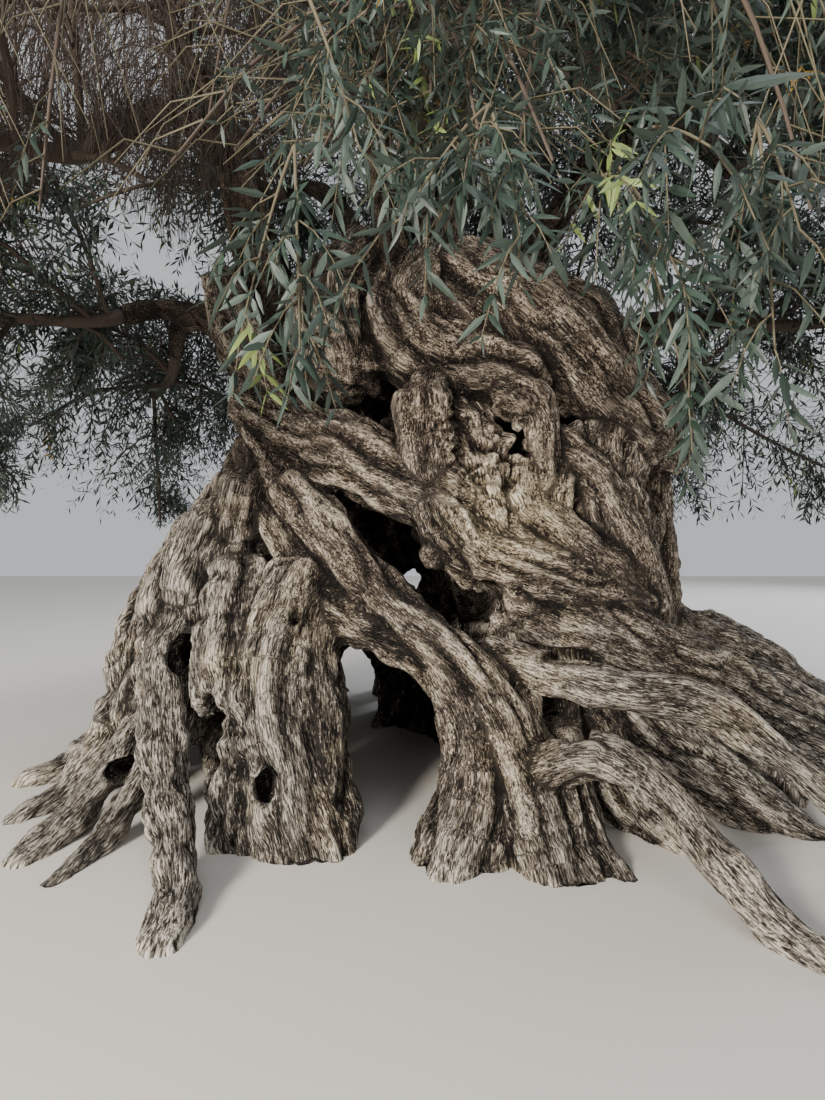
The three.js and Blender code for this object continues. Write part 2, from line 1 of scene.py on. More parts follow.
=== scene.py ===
"""An ancient olive tree, dressed for its portrait.

The trunk and its boughs are one rough skin worked out from the same strands as the solids, and the crown is
grown on from the boughs by the solids' own rule, carried on to fine twigs and leaves. All in metres, with
+Z up, the ground at Z = 0 and the side with the archway towards -Y.
"""

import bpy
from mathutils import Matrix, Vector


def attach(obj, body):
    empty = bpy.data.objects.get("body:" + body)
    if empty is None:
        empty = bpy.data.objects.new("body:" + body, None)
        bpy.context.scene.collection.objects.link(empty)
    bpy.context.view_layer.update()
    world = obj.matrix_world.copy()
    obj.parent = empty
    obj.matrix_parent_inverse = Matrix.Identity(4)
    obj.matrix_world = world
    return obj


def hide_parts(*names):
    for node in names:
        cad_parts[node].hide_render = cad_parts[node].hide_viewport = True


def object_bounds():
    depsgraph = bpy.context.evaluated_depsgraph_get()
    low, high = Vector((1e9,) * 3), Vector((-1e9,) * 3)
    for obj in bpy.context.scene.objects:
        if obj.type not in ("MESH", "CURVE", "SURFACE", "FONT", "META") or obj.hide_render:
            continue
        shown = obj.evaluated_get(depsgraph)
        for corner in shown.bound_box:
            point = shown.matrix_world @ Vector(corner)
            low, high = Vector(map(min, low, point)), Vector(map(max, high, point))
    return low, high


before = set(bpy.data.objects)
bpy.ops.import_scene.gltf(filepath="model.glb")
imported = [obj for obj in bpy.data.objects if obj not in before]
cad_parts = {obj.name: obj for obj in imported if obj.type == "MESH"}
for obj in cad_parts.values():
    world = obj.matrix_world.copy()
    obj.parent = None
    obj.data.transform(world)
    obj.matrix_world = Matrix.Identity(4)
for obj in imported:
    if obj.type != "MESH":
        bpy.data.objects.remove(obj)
CAD_BOX = [list(corner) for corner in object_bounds()]

import functools
import math

import bpy
import mathutils
import numpy as np

bl_info = {
    "name": "Ancient olive tree",
    "version": (1, 0, 0),
    "blender": (4, 5, 0),
    "location": "3D View > Sidebar > Olive tree",
    "description": "Bark, boughs, twigs and leaves of an old hollow olive tree",
    "category": "Add Mesh",
}

# The photograph's frame and the point it was taken from
IMAGE_SIZE = (825, 1100)
LENS_PIXELS = 600  # the lens's focal length, in pixels of the photograph
SENSOR = 36.0  # millimetres
CLIP = (0.05, 200)  # metres
CAMERA_AT = (-0.45, -4.5, 1.5)

# The trunk's strands, as the solids have them. A station is x, y, z and radius.
FRONT_STRANDS = {
    "crossing_limb": [
        [-1.18, -0.7, 1.86, 0.15], [-0.61, -1.05, 1.22, 0.155], [-0.05, -1.25, 0.74, 0.175],
        [0.19, -1.5, 0.12, 0.21], [0.26, -1.65, -0.15, 0.25],
    ],
    "under_limb": [
        [-1.44, -0.55, 1.83, 0.14], [-0.9, -0.93, 1.13, 0.13], [-0.32, -1.18, 0.85, 0.145],
        [-0.13, -1.35, 0.42, 0.175], [-0.23, -1.53, -0.12, 0.27],
    ],
    "left_buttress": [
        [-1.13, -0.85, 1.23, 0.23], [-1.24, -1.05, 0.75, 0.29], [-1.14, -1.25, 0.36, 0.26],
        [-0.95, -1.45, -0.15, 0.26],
    ],
    "outer_buttress": [
        [-1.51, -0.75, 1.29, 0.2], [-1.49, -1, 0.86, 0.22], [-1.39, -1.35, 0.19, 0.12],
        [-1.29, -1.48, -0.15, 0.14],
    ],
    "inner_buttress": [[-1.02, -0.9, 1.15, 0.12], [-0.91, -1.25, 0.35, 0.155], [-0.93, -1.45, -0.15, 0.19]],
    "long_root": [
        [-1.88, -0.55, 1.2, 0.15], [-1.93, -0.9, 0.84, 0.14], [-1.7, -1.45, 0.34, 0.125],
        [-1.44, -1.95, 0.04, 0.1], [-1.4, -2.26, -0.06, 0.06],
    ],
    "left_band": [[-1.56, -0.28, 2.48, 0.2], [-0.9, -0.68, 2.09, 0.255], [-0.25, -0.93, 1.8, 0.22]],
    "left_bulge": [[-0.75, -0.15, 3.5, 0.31], [-0.96, -0.4, 3.07, 0.34], [-0.87, -0.54, 2.72, 0.27]],
    "left_shoulder": [[-1.83, 0.06, 3.45, 0.18], [-1.6, -0.1, 2.96, 0.235], [-1.22, -0.38, 2.35, 0.21]],
    "brow": [
        [-0.4, -0.25, 3.37, 0.31], [-0.53, -0.53, 2.95, 0.26], [-0.28, -0.68, 2.64, 0.26],
        [0.18, -0.72, 2.56, 0.24],
    ],
    "right_shoulder": [
        [-0.05, -0.3, 3.33, 0.32], [0.33, -0.5, 2.97, 0.33], [0.95, -0.55, 2.32, 0.3],
        [1.2, -0.45, 2.17, 0.19],
    ],
    "right_crest": [[0.2, 0, 3.5, 0.22], [0.8, -0.02, 3.2, 0.26], [1.15, -0.1, 2.4, 0.22]],
    "knob_column": [
        [-0.38, -0.95, 2.32, 0.185], [-0.34, -0.97, 1.85, 0.15], [-0.13, -1.05, 1.48, 0.18],
        [0.33, -1.02, 1.35, 0.2], [0.88, -0.75, 1.19, 0.19],
    ],
    "right_knob": [
        [0.12, -0.88, 2.42, 0.12], [0.24, -0.925, 2.36, 0.145], [0.345, -0.935, 2.02, 0.095],
        [0.23, -0.98, 1.7, 0.1],
    ],
    "burl": [[-0.19, -0.82, 2.23, 0.2], [-0.06, -0.88, 1.98, 0.195], [-0.02, -0.9, 1.74, 0.19]],
    "right_flank": [
        [0.77, -0.56, 2.25, 0.26], [0.67, -0.68, 1.82, 0.31], [0.82, -0.65, 1.44, 0.29],
        [1.06, -0.55, 1.22, 0.17],
    ],
    "right_edge": [[1.1, -0.25, 2.3, 0.2], [1.12, -0.32, 1.78, 0.215], [1.15, -0.35, 1.1, 0.26]],
    "inner_flank": [[0.47, -0.72, 2.12, 0.2], [0.34, -0.86, 1.62, 0.24], [0.5, -0.85, 1.15, 0.24]],
    "root_plate_front": [
        [0.06, -1, 1.25, 0.17], [0.8, -0.9, 0.98, 0.22], [2.1, -0.65, 0.35, 0.2], [2.7, -0.6, -0.1, 0.15],
    ],
    "root_plate_back": [
        [0.9, -0.15, 0.98, 0.32], [1.95, -0.1, 0.64, 0.27], [2.6, -0.1, 0.23, 0.22],
        [3.2, -0.1, -0.12, 0.13],
    ],
    "upper_root": [
        [0, -1.15, 0.92, 0.11], [0.64, -1.35, 0.76, 0.12], [1.04, -1.4, 0.7, 0.115],
        [1.56, -1.62, 0.32, 0.075], [1.9, -1.75, -0.04, 0.05],
    ],
    "lower_root": [
        [0.04, -1.35, 0.61, 0.08], [0.1, -1.45, 0.38, 0.115], [0.43, -1.6, 0.51, 0.12],
        [0.64, -1.7, 0.44, 0.095], [0.9, -2.1, 0.11, 0.08], [1.1, -2.42, -0.03, 0.055],
    ],
}
# Like strands on the left, side by side: how many, and the first and the last of them
PIPE_COUNT = 4
PIPE_FIRST = [
    [-1.32, -0.4, 2.18, 0.14], [-1.5, -0.5, 1.83, 0.16], [-1.59, -0.65, 1.44, 0.18], [-1.5, -0.8, 0.9, 0.2],
]
PIPE_LAST = [
    [-2.04, -0.1, 1.65, 0.13], [-2.18, -0.3, 1.22, 0.18], [-2.23, -0.5, 0.78, 0.19], [-2.3, -0.6, 0.2, 0.22],
]
# Roots: the power of their fall, how deep their feet sink in radii, and their spans, then for each the foot's
# place, the head's place on the wall, the radii of foot and head, and the power of its way out
ROOT_FALL, ROOT_SINK, ROOT_STEPS = 1.25, 0.7, 4
FLARE_ROOTS = [
    ([-2.65, -1.15], [-2.05, -0.25, 1.35], [0.09, 0.2], 1.7),
    ([-2.35, -1.6], [-2, -0.55, 0.95], [0.07, 0.17], 1.6),
    ([-2.08, -1.8], [-1.85, -0.85, 0.62], [0.06, 0.15], 1.5),
    ([-2.9, -0.6], [-2, 0, 1.4], [0.11, 0.23], 1.7),
    ([-2.95, 0.2], [-1.95, 0.2, 1.3], [0.1, 0.23], 1.7),
    ([2.95, 0.5], [0.85, 0.2, 1.35], [0.12, 0.36], 1.25),
    ([2.9, -1.05], [0.85, -0.5, 0.9], [0.11, 0.3], 1.1),
    ([1.75, -1.35], [0.65, -0.85, 0.7], [0.12, 0.26], 1.2),
    ([0.95, -1.45], [0.45, -0.85, 0.8], [0.15, 0.26], 1.4),
    ([0.52, -1.72], [0.3, -1.15, 0.56], [0.11, 0.19], 1.3),
]
# Ellipsoids of solid wood between the strands, and the hollow and gaps cut out of it: middle and half sizes
HEARTWOOD = [
    [[-0.35, 0.06, 2.75], [1.15, 0.83, 0.8]],
    [[0.45, 0.05, 0.75], [0.95, 0.88, 1.85]],
    [[-1.5, 0, 0.9], [0.56, 0.72, 1.5]],
    [[-0.55, 0.72, 1], [1.25, 0.48, 2]],
    [[1.3, -0.25, 0.1], [1.25, 0.8, 0.7]],
]
HOLLOWS = [
    [[-0.72, -0.15, 0.65], [0.64, 0.85, 1.25]],
    [[-0.42, -0.7, 1.42], [0.44, 0.62, 0.33]],
    [[-0.6, -1, 0.3], [0.37, 0.7, 0.76]],
    [[-0.47, 0.9, 1.24], [0.12, 0.7, 0.12]],
    [[-1, 1, 0.15], [0.26, 1.1, 0.52]],
    [[-0.62, -0.65, 2.44], [0.26, 0.33, 0.19]],
    [[0.62, -1.05, 0.42], [0.17, 0.33, 0.19]],
]
# Boughs: the stations of each, and the masses that it feeds
BOUGHS = {
    "left": (
        [[-1.4, 0.05, 3.1, 0.22], [-1.59, -0.06, 3.8, 0.17], [-1.7, -0.13, 4.25, 0.135]],
        ["rim_left_front", "top_left_front"],
    ),
    "left_low": (
        [[-1.65, 0.25, 2.75, 0.2], [-1.98, 0.42, 3.3, 0.15], [-2.25, 0.52, 3.45, 0.12]],
        ["rim_left", "rim_left_back"],
    ),
    "middle_left": (
        [[-0.7, 0.2, 3.15, 0.15], [-0.9, 0.26, 3.95, 0.11], [-1.05, 0.38, 4.3, 0.095]],
        ["top_left_back"],
    ),
    "centre": (
        [[-0.32, -0.1, 3.1, 0.27], [-0.26, -0.18, 3.9, 0.225], [-0.15, -0.24, 4.45, 0.18]],
        ["apex", "top_front"],
    ),
    "front": (
        [[-0.52, -0.2, 3.25, 0.15], [-0.65, -0.7, 3.78, 0.115], [-0.64, -1.15, 3.96, 0.095]],
        ["rim_front"],
    ),
    "right_upper": (
        [[0.25, 0.2, 3.1, 0.21], [0.48, 0.26, 3.8, 0.15], [0.7, 0.26, 4.15, 0.125]],
        ["top_right_front", "top_right_back", "rim_right_front"],
    ),
    "right": (
        [[0.85, 0.25, 2.85, 0.19], [1.38, 0.5, 3.27, 0.135], [1.75, 0.62, 3.4, 0.115]],
        ["rim_right", "rim_right_back"],
    ),
    "back": (
        [[-0.35, 0.65, 2.8, 0.23], [-0.33, 1.15, 3.4, 0.165], [-0.3, 1.4, 3.8, 0.135]],
        ["rim_back_right", "rim_back_left", "top_back"],
    ),
}
# The hidden back's strands. A station is its share of the twist, the waist, the height and the radius.
BACK = {
    "count": 8, "from": 103, "to": 257, "waist": 1.06, "top": 3.2, "radius": 0.29, "wide": 1.15,
    "twist": 30, "scatter": 12, "top_drop": 0.4, "bulge": 0.14, "fat": (0.8, 1.25),
    "stations": [(1, 0.62, 1, 1.05), (0.6, 1.02, 0.66, 1), (0, 1, 0.4, 0.95), (-0.4, 1.35, 0.16, 0.85)],
    "foot_reach": (1.88, 2.7), "foot_radius": 0.15, "foot_sink": 0.8,
}

# The crown, as the solids have it: an outer dome, the open dome under it, and the middle of each mass.
HEAD = np.array([-0.35, 0, 3.4])
CROWN = (np.array([-0.35, 0.15, 3.0]), np.array([4.3, 3.95, 3.5]))
SHADE = (np.array([-0.35, 0, 1.3]), np.array([3.4, 3.4, 2.55]))
# How low the crown hangs, and how its outline swells and sinks
CROWN_FOOT = {"low": 1.78, "front": 2.15, "narrow": 4}
LUMPS = {"depth": 0.07, "round": 5, "lean": 1.3, "rise": 1.7, "phase": 0.8, "mean": 0.25}
RIM = "front right_front right right_back back_right back_left left_back left left_front".split()
TOP = "front right_front right_back back left_back left_front".split()
RINGS = [("rim", RIM, 3.2, 3.05), ("top", TOP, 1.85, 4.85)]
APEX_HEIGHT = 5.75
BARE = ("rim_left_front", "top_left_front")
GAP = 0.0003  # metres between two solids
CELL_MARGIN, LIMB_MARGIN = 0.012, 0.03  # metres kept clear of a neighbouring mass and of a limb
# Branches, and each mass's stem and main twigs, as the solids have them: radii and lengths in metres, shares
BRANCH = {
    "foot": 0.095, "tip": 0.06, "shortest": 0.6, "deep": 0.072,
    "of_fork": 0.8, "bend_at": 0.45, "bend": 0.14, "rise": 0.05, "middle": 0.75,
}
STEM = {"foot": 0.058, "tip": 0.034, "straight": 0.25, "reach": 0.9}
TWIGS = {
    "foot": 0.02, "tip": 0.013, "leafy": 7, "bare": 9, "from": 0.25, "to": 0.95, "arch": 0.1, "far": 3.2,
    "steep": -0.3, "droop": -0.3, "tip_margins": 3, "path_margins": 2,
}
FIT_AT = np.array([0.3, 0.4, 0.5, 0.6, 0.7, 0.8, 0.9, 1])  # where a main twig is tested for room
HALVINGS = 14  # rounds in which a point is brought back into its mass's space
GOLDEN_ANGLE = math.pi * (3 - math.sqrt(5))

# The wood's skin
WOOD_LOW, WOOD_HIGH = np.array([-3.45, -2.85, -0.12]), np.array([3.6, 2.95, 4.75])
UNDERSIDE = -0.03  # the skin is closed this far below the ground, then pressed flat onto it
FAR = 9.0  # metres, beyond everything
STRAND_STEPS = 4  # straight pieces between two stations
HARDLY_BENT = 0.3  # sine of the angle between a strand's ends, under which it counts as straight
STRAND_BLEND, WALL_BLEND, BOUGH_BLEND, POCKET_BLEND = 0.04, 0.10, 0.09, 0.03  # how far forms melt together
SIGHT = np.arange(1.8, 6.0, 0.01)  # distances from the lens at which the wood is looked for
LEAST_SLOPE, LARGEST_MOVE = 0.2, 0.4  # limits on a corner's moves, the second as a share of a grid cell
CORNERS = np.array([(i, j, k) for i in (0, 1) for j in (0, 1) for k in (0, 1)])  # of a grid cell
EDGES = [(a, b) for a in range(8) for b in range(a + 1, 8) if np.abs(CORNERS[a] - CORNERS[b]).sum() == 1]

# Short lengths of wood that only the skin has, where a limb runs on beside its neighbour, and a knob
SKIN_STRANDS = [
    [[-1.0, -0.8, 1.66, 0.12], [-1.22, -0.66, 1.9, 0.14], [-1.5, -0.42, 2.25, 0.13]],
    [[-1.35, -0.62, 1.7, 0.12], [-1.48, -0.47, 1.98, 0.13], [-1.6, -0.3, 2.2, 0.12]],
    [[-0.12, -1.0, 1.62, 0.12], [-0.24, -1.03, 1.56, 0.12], [-0.32, -1.06, 1.48, 0.1]],
    [[0.22, -0.92, 2.0, 0.09], [0.2, -1.0, 1.78, 0.12], [0.42, -1.03, 1.6, 0.13], [0.7, -0.95, 1.4, 0.13],
     [0.98, -0.78, 1.18, 0.1]],
    [[0.42, -0.84, 2.15, 0.12], [0.68, -0.9, 1.88, 0.13], [0.88, -0.86, 1.55, 0.13],
     [1.06, -0.68, 1.2, 0.12]],
    [[-0.02, -0.98, 1.78, 0.13], [0.06, -1.02, 1.62, 0.13], [0.25, -1.04, 1.46, 0.11]],
    [[-1.7, -0.5, 1.76, 0.14], [-1.76, -0.62, 1.58, 0.2], [-1.84, -0.66, 1.32, 0.19],
     [-1.86, -0.6, 1.0, 0.15]],
    [[-1.93, -0.42, 1.54, 0.12], [-2.0, -0.54, 1.38, 0.17], [-2.06, -0.6, 1.15, 0.16],
     [-2.1, -0.55, 0.9, 0.14]],
    [[-1.5, -0.56, 1.98, 0.1], [-1.54, -0.64, 1.85, 0.16], [-1.58, -0.66, 1.6, 0.15],
     [-1.6, -0.62, 1.35, 0.13]],
    [[-0.3, -0.75, 2.5, 0.12], [-0.36, -0.9, 2.42, 0.15], [-0.38, -0.95, 2.3, 0.17]],
]

# Dark pockets between the strands: the pixel of the photograph that shows each one, and its half sizes
POCKETS = [
    (570, 663, (0.17, 0.2, 0.04)), (562, 716, (0.13, 0.3, 0.12)), (540, 700, (0.06, 0.2, 0.1)),
    (184, 655, (0.07, 0.3, 0.1)), (205, 735, (0.08, 0.3, 0.2)), (292, 612, (0.025, 0.14, 0.08)),
    (262, 792, (0.045, 0.2, 0.07)), (372, 408, (0.12, 0.2, 0.07)), (568, 420, (0.06, 0.25, 0.03)),
    (525, 440, (0.035, 0.2, 0.11)), (350, 500, (0.1, 0.12, 0.03)), (120, 770, (0.07, 0.2, 0.05)),
    (484, 600, (0.13, 0.34, 0.1)), (455, 598, (0.11, 0.34, 0.07)), (482, 608, (0.16, 0.36, 0.13)),
    (470, 600, (0.16, 0.36, 0.14)), (400, 528, (0.08, 0.2, 0.05)), (372, 517, (0.1, 0.2, 0.03)),
]

# Ringed eyes on the burl: the pixel of the photograph that shows each one, and its size
EYES = [(450, 404, 0.09), (447, 436, 0.1), (478, 480, 0.09), (492, 508, 0.07), (520, 395, 0.09)]
EYE_HEIGHT, EYE_RING = 0.022, 0.6  # how high the rings stand, and their spacing as a share of the size
TRUNK_NODES, BOUGH_NODES, BRANCH_NODES = (
    [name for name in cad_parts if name.startswith(kind)] for kind in ("trunk_", "bough_", "branch_")
)

# Bark: how far a strand's bark reaches and mixes with its neighbour's, and the wood between strands
REACH, MIX, PLAIN_REACH, PLAIN_THICK = 0.14, 0.012, 0.11, 0.16
STRAND_SHIFT = 3.7  # how far each strand's bark is shifted along, so that no two look alike
FURROW_ROUNDS, FURROW_DEPTH = 14, 0.02  # rounds of smoothing, and metres below the smoothed surface at which a crease's painted shade is full
HOLLOW_SHADE, HOLLOW_SHADE_FADE = 0.6, (1.0, 1.12)  # painted shade on the wood inside the hollow, as a share of the full painted shade in a crease, full inside the hollows' ellipsoids and fading out a little beyond them

# The bark's forms: size in metres, or across, across and along a strand, the seed that shifts the noise, and
# the level of the folds at which the surface stays in place
FOLD_HEIGHT = 1.8  # folds reach 1 before the noise reaches its ends, so that their backs are broad
FLUTE, ROPE = ((0.21, 0.21, 0.8), 0.0, 0.6), ((0.1, 0.1, 0.42), 31.0, 0.6)
FIBRE, LUMP = ((0.05, 0.05, 0.25), 57.0, 0.5), (0.24, 5.0, 0.5)
KNOB, EYE = (0.1, 15.0, 0.5), (0.085, 25.0, 0.4)
WANDER, SWIRL = (0.3, 11.0), (0.13, 17.0)  # how grain and knobs stray: size in metres, and seed
STRAY = {"plain": 0.14, "knobbly": 0.06, "burl": 0.16, "lump": 0.08, "knob": 0.05}  # metres off its line
KNOB_SHARE, EYE_SHARE = 0.45, 0.6  # of a knob on a lump's height, and of an eye on a knob's
FULL_BARK, FULL_KNOBS = (0.16, 0.35), (0.2, 0.2)  # radius with the whole relief, and the least share of it

# Where the wood is knobbly, grey or bare: fades from a value that gives 0 to one that gives 1, and shares
BURL, BLEACHED = [([-0.05, -1.0, 2.0], [0.32, 0.3, 0.42])], [([0.12, -1.15, 1.72], [0.34, 0.3, 0.3])]
KNOBBLY = {
    "burl": (0.6, 1.3), "feet_x": (-0.9, -1.6), "feet_z": (1.5, 0.5), "patch": (0.5, 0.75),
    "patch_noise": (0.5, 3.0), "shares": (0.4, 0.75, 0.6), "most": 1.2,
}
WEATHER = {
    "low": (2.3, 0.5), "left_x": (-0.7, -1.7), "left_z": (2.9, 1.6), "far": (1.4, 2.4),
    "cloud": (0.45, 21.0), "shares": (0.55, 0.4, 0.25, 0.9), "burl": (0.5, 1.5), "burl_least": 0.5,
    "burl_noise": 0.08,
    "crest": (0.62, 0.8), "crest_noise": (0.22, 40.0), "crest_z": (2.6, 2.0), "crest_share": 0.35,
}
BRANCH_SKIN = {
    "rings": 31, "sides": 16, "least": 0.85, "swell": 0.4, "lump": 0.12, "apart": 0.04,
    "fibre": (0.05, 0.05, 0.3), "relief": 0.006, "shade": 0.5,
}

# How side twigs and shoots grow: their lengths in metres and how these taper along the parent, how far they
# lean forward and out, and their lift and sag
SIDE_TWIGS = {"long": (0.5, 0.95), "taper": 0.75, "forward": 0.55, "out": 0.85, "lift": -0.1, "sag": 0.25}
SHOOTS = {"long": (0.24, 0.44), "taper": 0.8, "forward": 0.75, "out": 0.7, "lift": -0.12, "sag": 0.3}
BARE_TWIGS = {"long": (0.45, 0.9), "taper": 0.8, "forward": 0.5, "out": 0.75, "lift": -0.25, "sag": 0.45}
BARE_SHOOTS = {"long": (0.25, 0.6), "taper": 0.8, "forward": 0.5, "out": 0.5, "lift": -0.5, "sag": 0.55}
HANGING_SHOOTS = {"long": (0.08, 0.17), "forward": 0.8, "out": 0.6, "lift": -0.2, "sag": 0.25}
# What grows along limbs and twigs: the shares of the parent between which it starts, and what tells it apart
SPANS = {"sides": ((0.18, 1.0), 3), "shoots": ((0.12, 1.0), 7), "ends": ((0.4, 1.0), 11),
         "bare_sides": ((0.15, 1.0), 13), "bare_shoots": ((0.15, 0.95), 17)}
BOW_RISE, BOW_FALL = 0.35, 0.65  # of the sag, at the middle and the end of a shoot
NEARLY_UPRIGHT = 0.95  # the upward share of a direction above which X stands in for Z beside it
UPRIGHT_TWIG = 0.9  # the same for a twig's foot
WHOLE_TURN = 6.3  # radians, a little over one turn
TRIES, TRY_TURN, TRY_SHORTER = 6, 1.7, 0.87  # a blocked shoot's tries, its turn in golden angles, its length
LIMB_STEPS = 12  # straight pieces that a limb is taken as
BOX_LOW, BOX_HIGH = np.array(CAD_BOX)
PROUD = 0.04  # how far a shoot's tip may stand past the solids' box
NEAR = 2.3  # leaves this near the camera are made at their real size
NEAR_LEAFLESS = 0.35  # the share of those shoots that carry no leaves
BARE_SIDE_X, BARE_SIDE_Y, BARE_SIDE_LEAFLESS = (-0.5, -1.0), (-1.0, -1.6), 0.93

# Sprays that hang in front of the trunk: pixel of the photograph, distance from the lens, side shoots
HANGING = [
    (300, 350, 0.85, 9), (245, 315, 0.95, 6), (405, 215, 0.85, 6), (360, 150, 0.95, 5),
    (520, 235, 0.9, 6), (470, 170, 0.9, 5), (600, 190, 0.9, 6), (700, 140, 0.68, 6), (690, 300, 0.9, 7),
    (695, 420, 0.95, 7), (775, 350, 0.85, 7), (800, 230, 0.8, 6), (740, 230, 0.95, 6), (640, 250, 1.2, 5),
]
# How far below its start each spray ends at least, how it bends, and where its side shoots begin
HANG = {"fall": 0.08, "bend_at": 0.45, "bend": 0.06, "from": 0.3}

# Twigs as tubes: radii at foot and tip, sides, points, and 0 for an old one or 1 for a young one
STEM_TUBES = {"stems": (7, 9), "mains": (6, 9)}
TWIG_TUBES = {
    "sides": (0.0075, 0.0035, 4, 5, 0), "shoots": (0.0028, 0.0012, 3, 3, 1),
    "bare_sides": (0.006, 0.0022, 4, 6, 0), "bare_shoots": (0.0024, 0.001, 3, 4, 0),
    "hanging": (0.0035, 0.0016, 5, 8, 1), "hanging_shoots": (0.0018, 0.0009, 4, 4, 1),
}

# How leaves sit on a shoot, and their shape as shares of their length
LEAF_SET = {
    "from": 0.14, "play": 0.7, "lean": (0.55, 0.95), "forward": (0.95, 0.35), "droop": 0.16,
    "along": 0.7, "tilt": 0.9, "size": (0.7, 1.15), "last": 0.93, "last_size": 0.7,
}
SMALL_LEAF = {"rib": 0.02, "edge": 0.028}
FULL_LEAF = {"at": (0, 0.3, 0.68, 1), "half": (0, 1, 0.72, 0), "sink": 0.1, "fold": 0.25, "thick": 0.012}
PIECE_LIMIT = 190000  # triangles in a piece

# Widths and lengths of what the bark shows, in millimetres
FIBRE_MM = (7, 60)  # strips of wood fibres, drawn coarser than they are so that they show
FLAKE_MM = (11, 20)  # flakes of bark
GRIT_MM = 7  # grit and lichen grains, drawn coarser than they are so that they show
STAIN_MM = 300  # clouds of darker and paler wood
BARK_BUMP, GRIT_BUMP = 0.035, 0.003  # heights in metres
FURROW_SHADE = 0.08  # how far the depth of a crease darkens the bark, as painted shade

# Finishes: olive bark and bare wood, from the furrows, whose near-black is painted shade, up to the crests,
# whose palest tone is partly the wood's own and partly a painted highlight, and the leaves' upper sides, each
# with its tone beside the leaf's own colour, or a colour instead, and the share of sprays dealt out up to it
BARK_LAYERS = ("grain", "furrow_and_shade", "grey", "bare")  # corner values that the bark's material reads
BARK_STOPS = (0.42, 0.47, 0.54, 0.64)
TRUNK_COLOURS = {
    "brown": ("#080605", "#2d2620", "#685b4e", "#d4c6b2"),
    "lichen": ("#0e0c0a", "#332e29", "#6b645a", "#cfc8bb"),
    "cream": ("#120e0a", "#584c3c", "#a4957c", "#f2ead8"),
}
BOUGH_COLOURS = {
    "brown": ("#080706", "#211b17", "#453a30", "#7a6c5a"),
    "lichen": ("#0d0b0a", "#332e29", "#5c544a", "#8f8778"),
    "cream": ("#1a140f", "#4a4034", "#7d705c", "#b0a48c"),
}
TWIG_BARK = [("old_twig_bark", "#4a4038", 0.85), ("young_shoot_bark", "#56503f", 0.75)]
UPPER_SIDES = [("leaf_upper_side", 1, 0.4), ("leaf_upper_side_pale", 1.3, 0.68),
               ("leaf_upper_side_dark", 0.72, 0.94), ("young_leaf", "#5f6d3a", 0.994),
               ("yellow_leaf", "#a07c28", 1)]
UNDERSIDES = [("leaf_underside", 1), ("leaf_underside_dull", 0.75)]
DULL_FROM = 0.5  # the share of sprays that have the first of these
SEED = {"leaf": 5, "leafy": 71, "colour": 91, "under": 92}  # what tells the leaves' fixed shares apart

# The stage: a pale floor and room, and soft lights: name, place, aim, size, power in watts, colour
FLOOR_SIZE, FLOOR_COLOUR = 60, "#d8d4cc"
ROOM_COLOUR, ROOM_LIGHT = "#e9edf2", 0.7
LIGHTS = [
    ("key_left", (-5.5, -9.5, 3.2), (-0.3, 0, 1.5), (1.8, 1.8), 1900, "#fff8ee"),
    ("front_low", (2.5, -10.0, 1.6), (-0.3, 0, 1.6), (5.0, 2.2), 260, "#fffaf2"),
    ("top", (0, -2.0, 13.0), (0, 0, 2.0), (9.0, 9.0), 900, "#eef3ff"),
    ("rear_right", (16.0, 14.0, 13.0), (0, 0, 2.0), (9.0, 9.0), 2600, "#eef3ff"),
]


def tree_settings():
    """The sizes, counts and colours that the sidebar shows."""
    return bpy.context.scene.olive_tree


def unit(v):
    """Each vector divided by its own length."""
    return v / np.maximum(np.linalg.norm(v, axis=-1, keepdims=True), 1e-9)


def lerp(a, b, t):
    """The value a share t of the way from a to b."""
    return a + (b - a) * t


def smooth_step(low, high, v):
    """0 below low, 1 above high, and an even S between them."""
    t = np.clip((v - low) / (high - low), 0, 1)
    return t * t * (3 - 2 * t)


def share(a, b):
    """A fixed share from 0 to 1 for a pair of whole numbers: the fraction of a large, fast sine."""
    s = np.sin(np.asarray(a, float) * 127.1 + np.asarray(b, float) * 311.7) * 43758.5453
    return s - np.floor(s)


def on_curve(stations, t):
    """Points at shares t of a centripetal Catmull-Rom curve through the stations. Each span is a cubic whose
    end slopes come from the four nearest stations, with the square roots of their distances as knots. Any
    further column, such as a radius, runs straight from station to station."""
    s = np.asarray(stations, float)
    p, spans = s[:, :3], len(s) - 1
    k = np.minimum((t * spans).astype(int), spans - 1)
    u = (t * spans - k)[:, None]
    ends = np.vstack([2 * p[0] - p[1], p, 2 * p[-1] - p[-2]])
    knot = np.linalg.norm(np.diff(ends, axis=0), axis=1)[:, None] ** 0.5
    p0, p1, p2, p3 = (ends[k + i] for i in range(4))
    g0, g1, g2 = (knot[k + i] for i in range(3))
    m1 = ((p1 - p0) / g0 - (p2 - p0) / (g0 + g1) + (p2 - p1) / g1) * g1
    m2 = ((p2 - p1) / g1 - (p3 - p1) / (g1 + g2) + (p3 - p2) / g2) * g1
    place = p1 + m1 * u + (3 * (p2 - p1) - 2 * m1 - m2) * u**2 + (2 * (p1 - p2) + m1 + m2) * u**3
    return np.hstack([place, lerp(s[k, 3:], s[k + 1, 3:], u)])


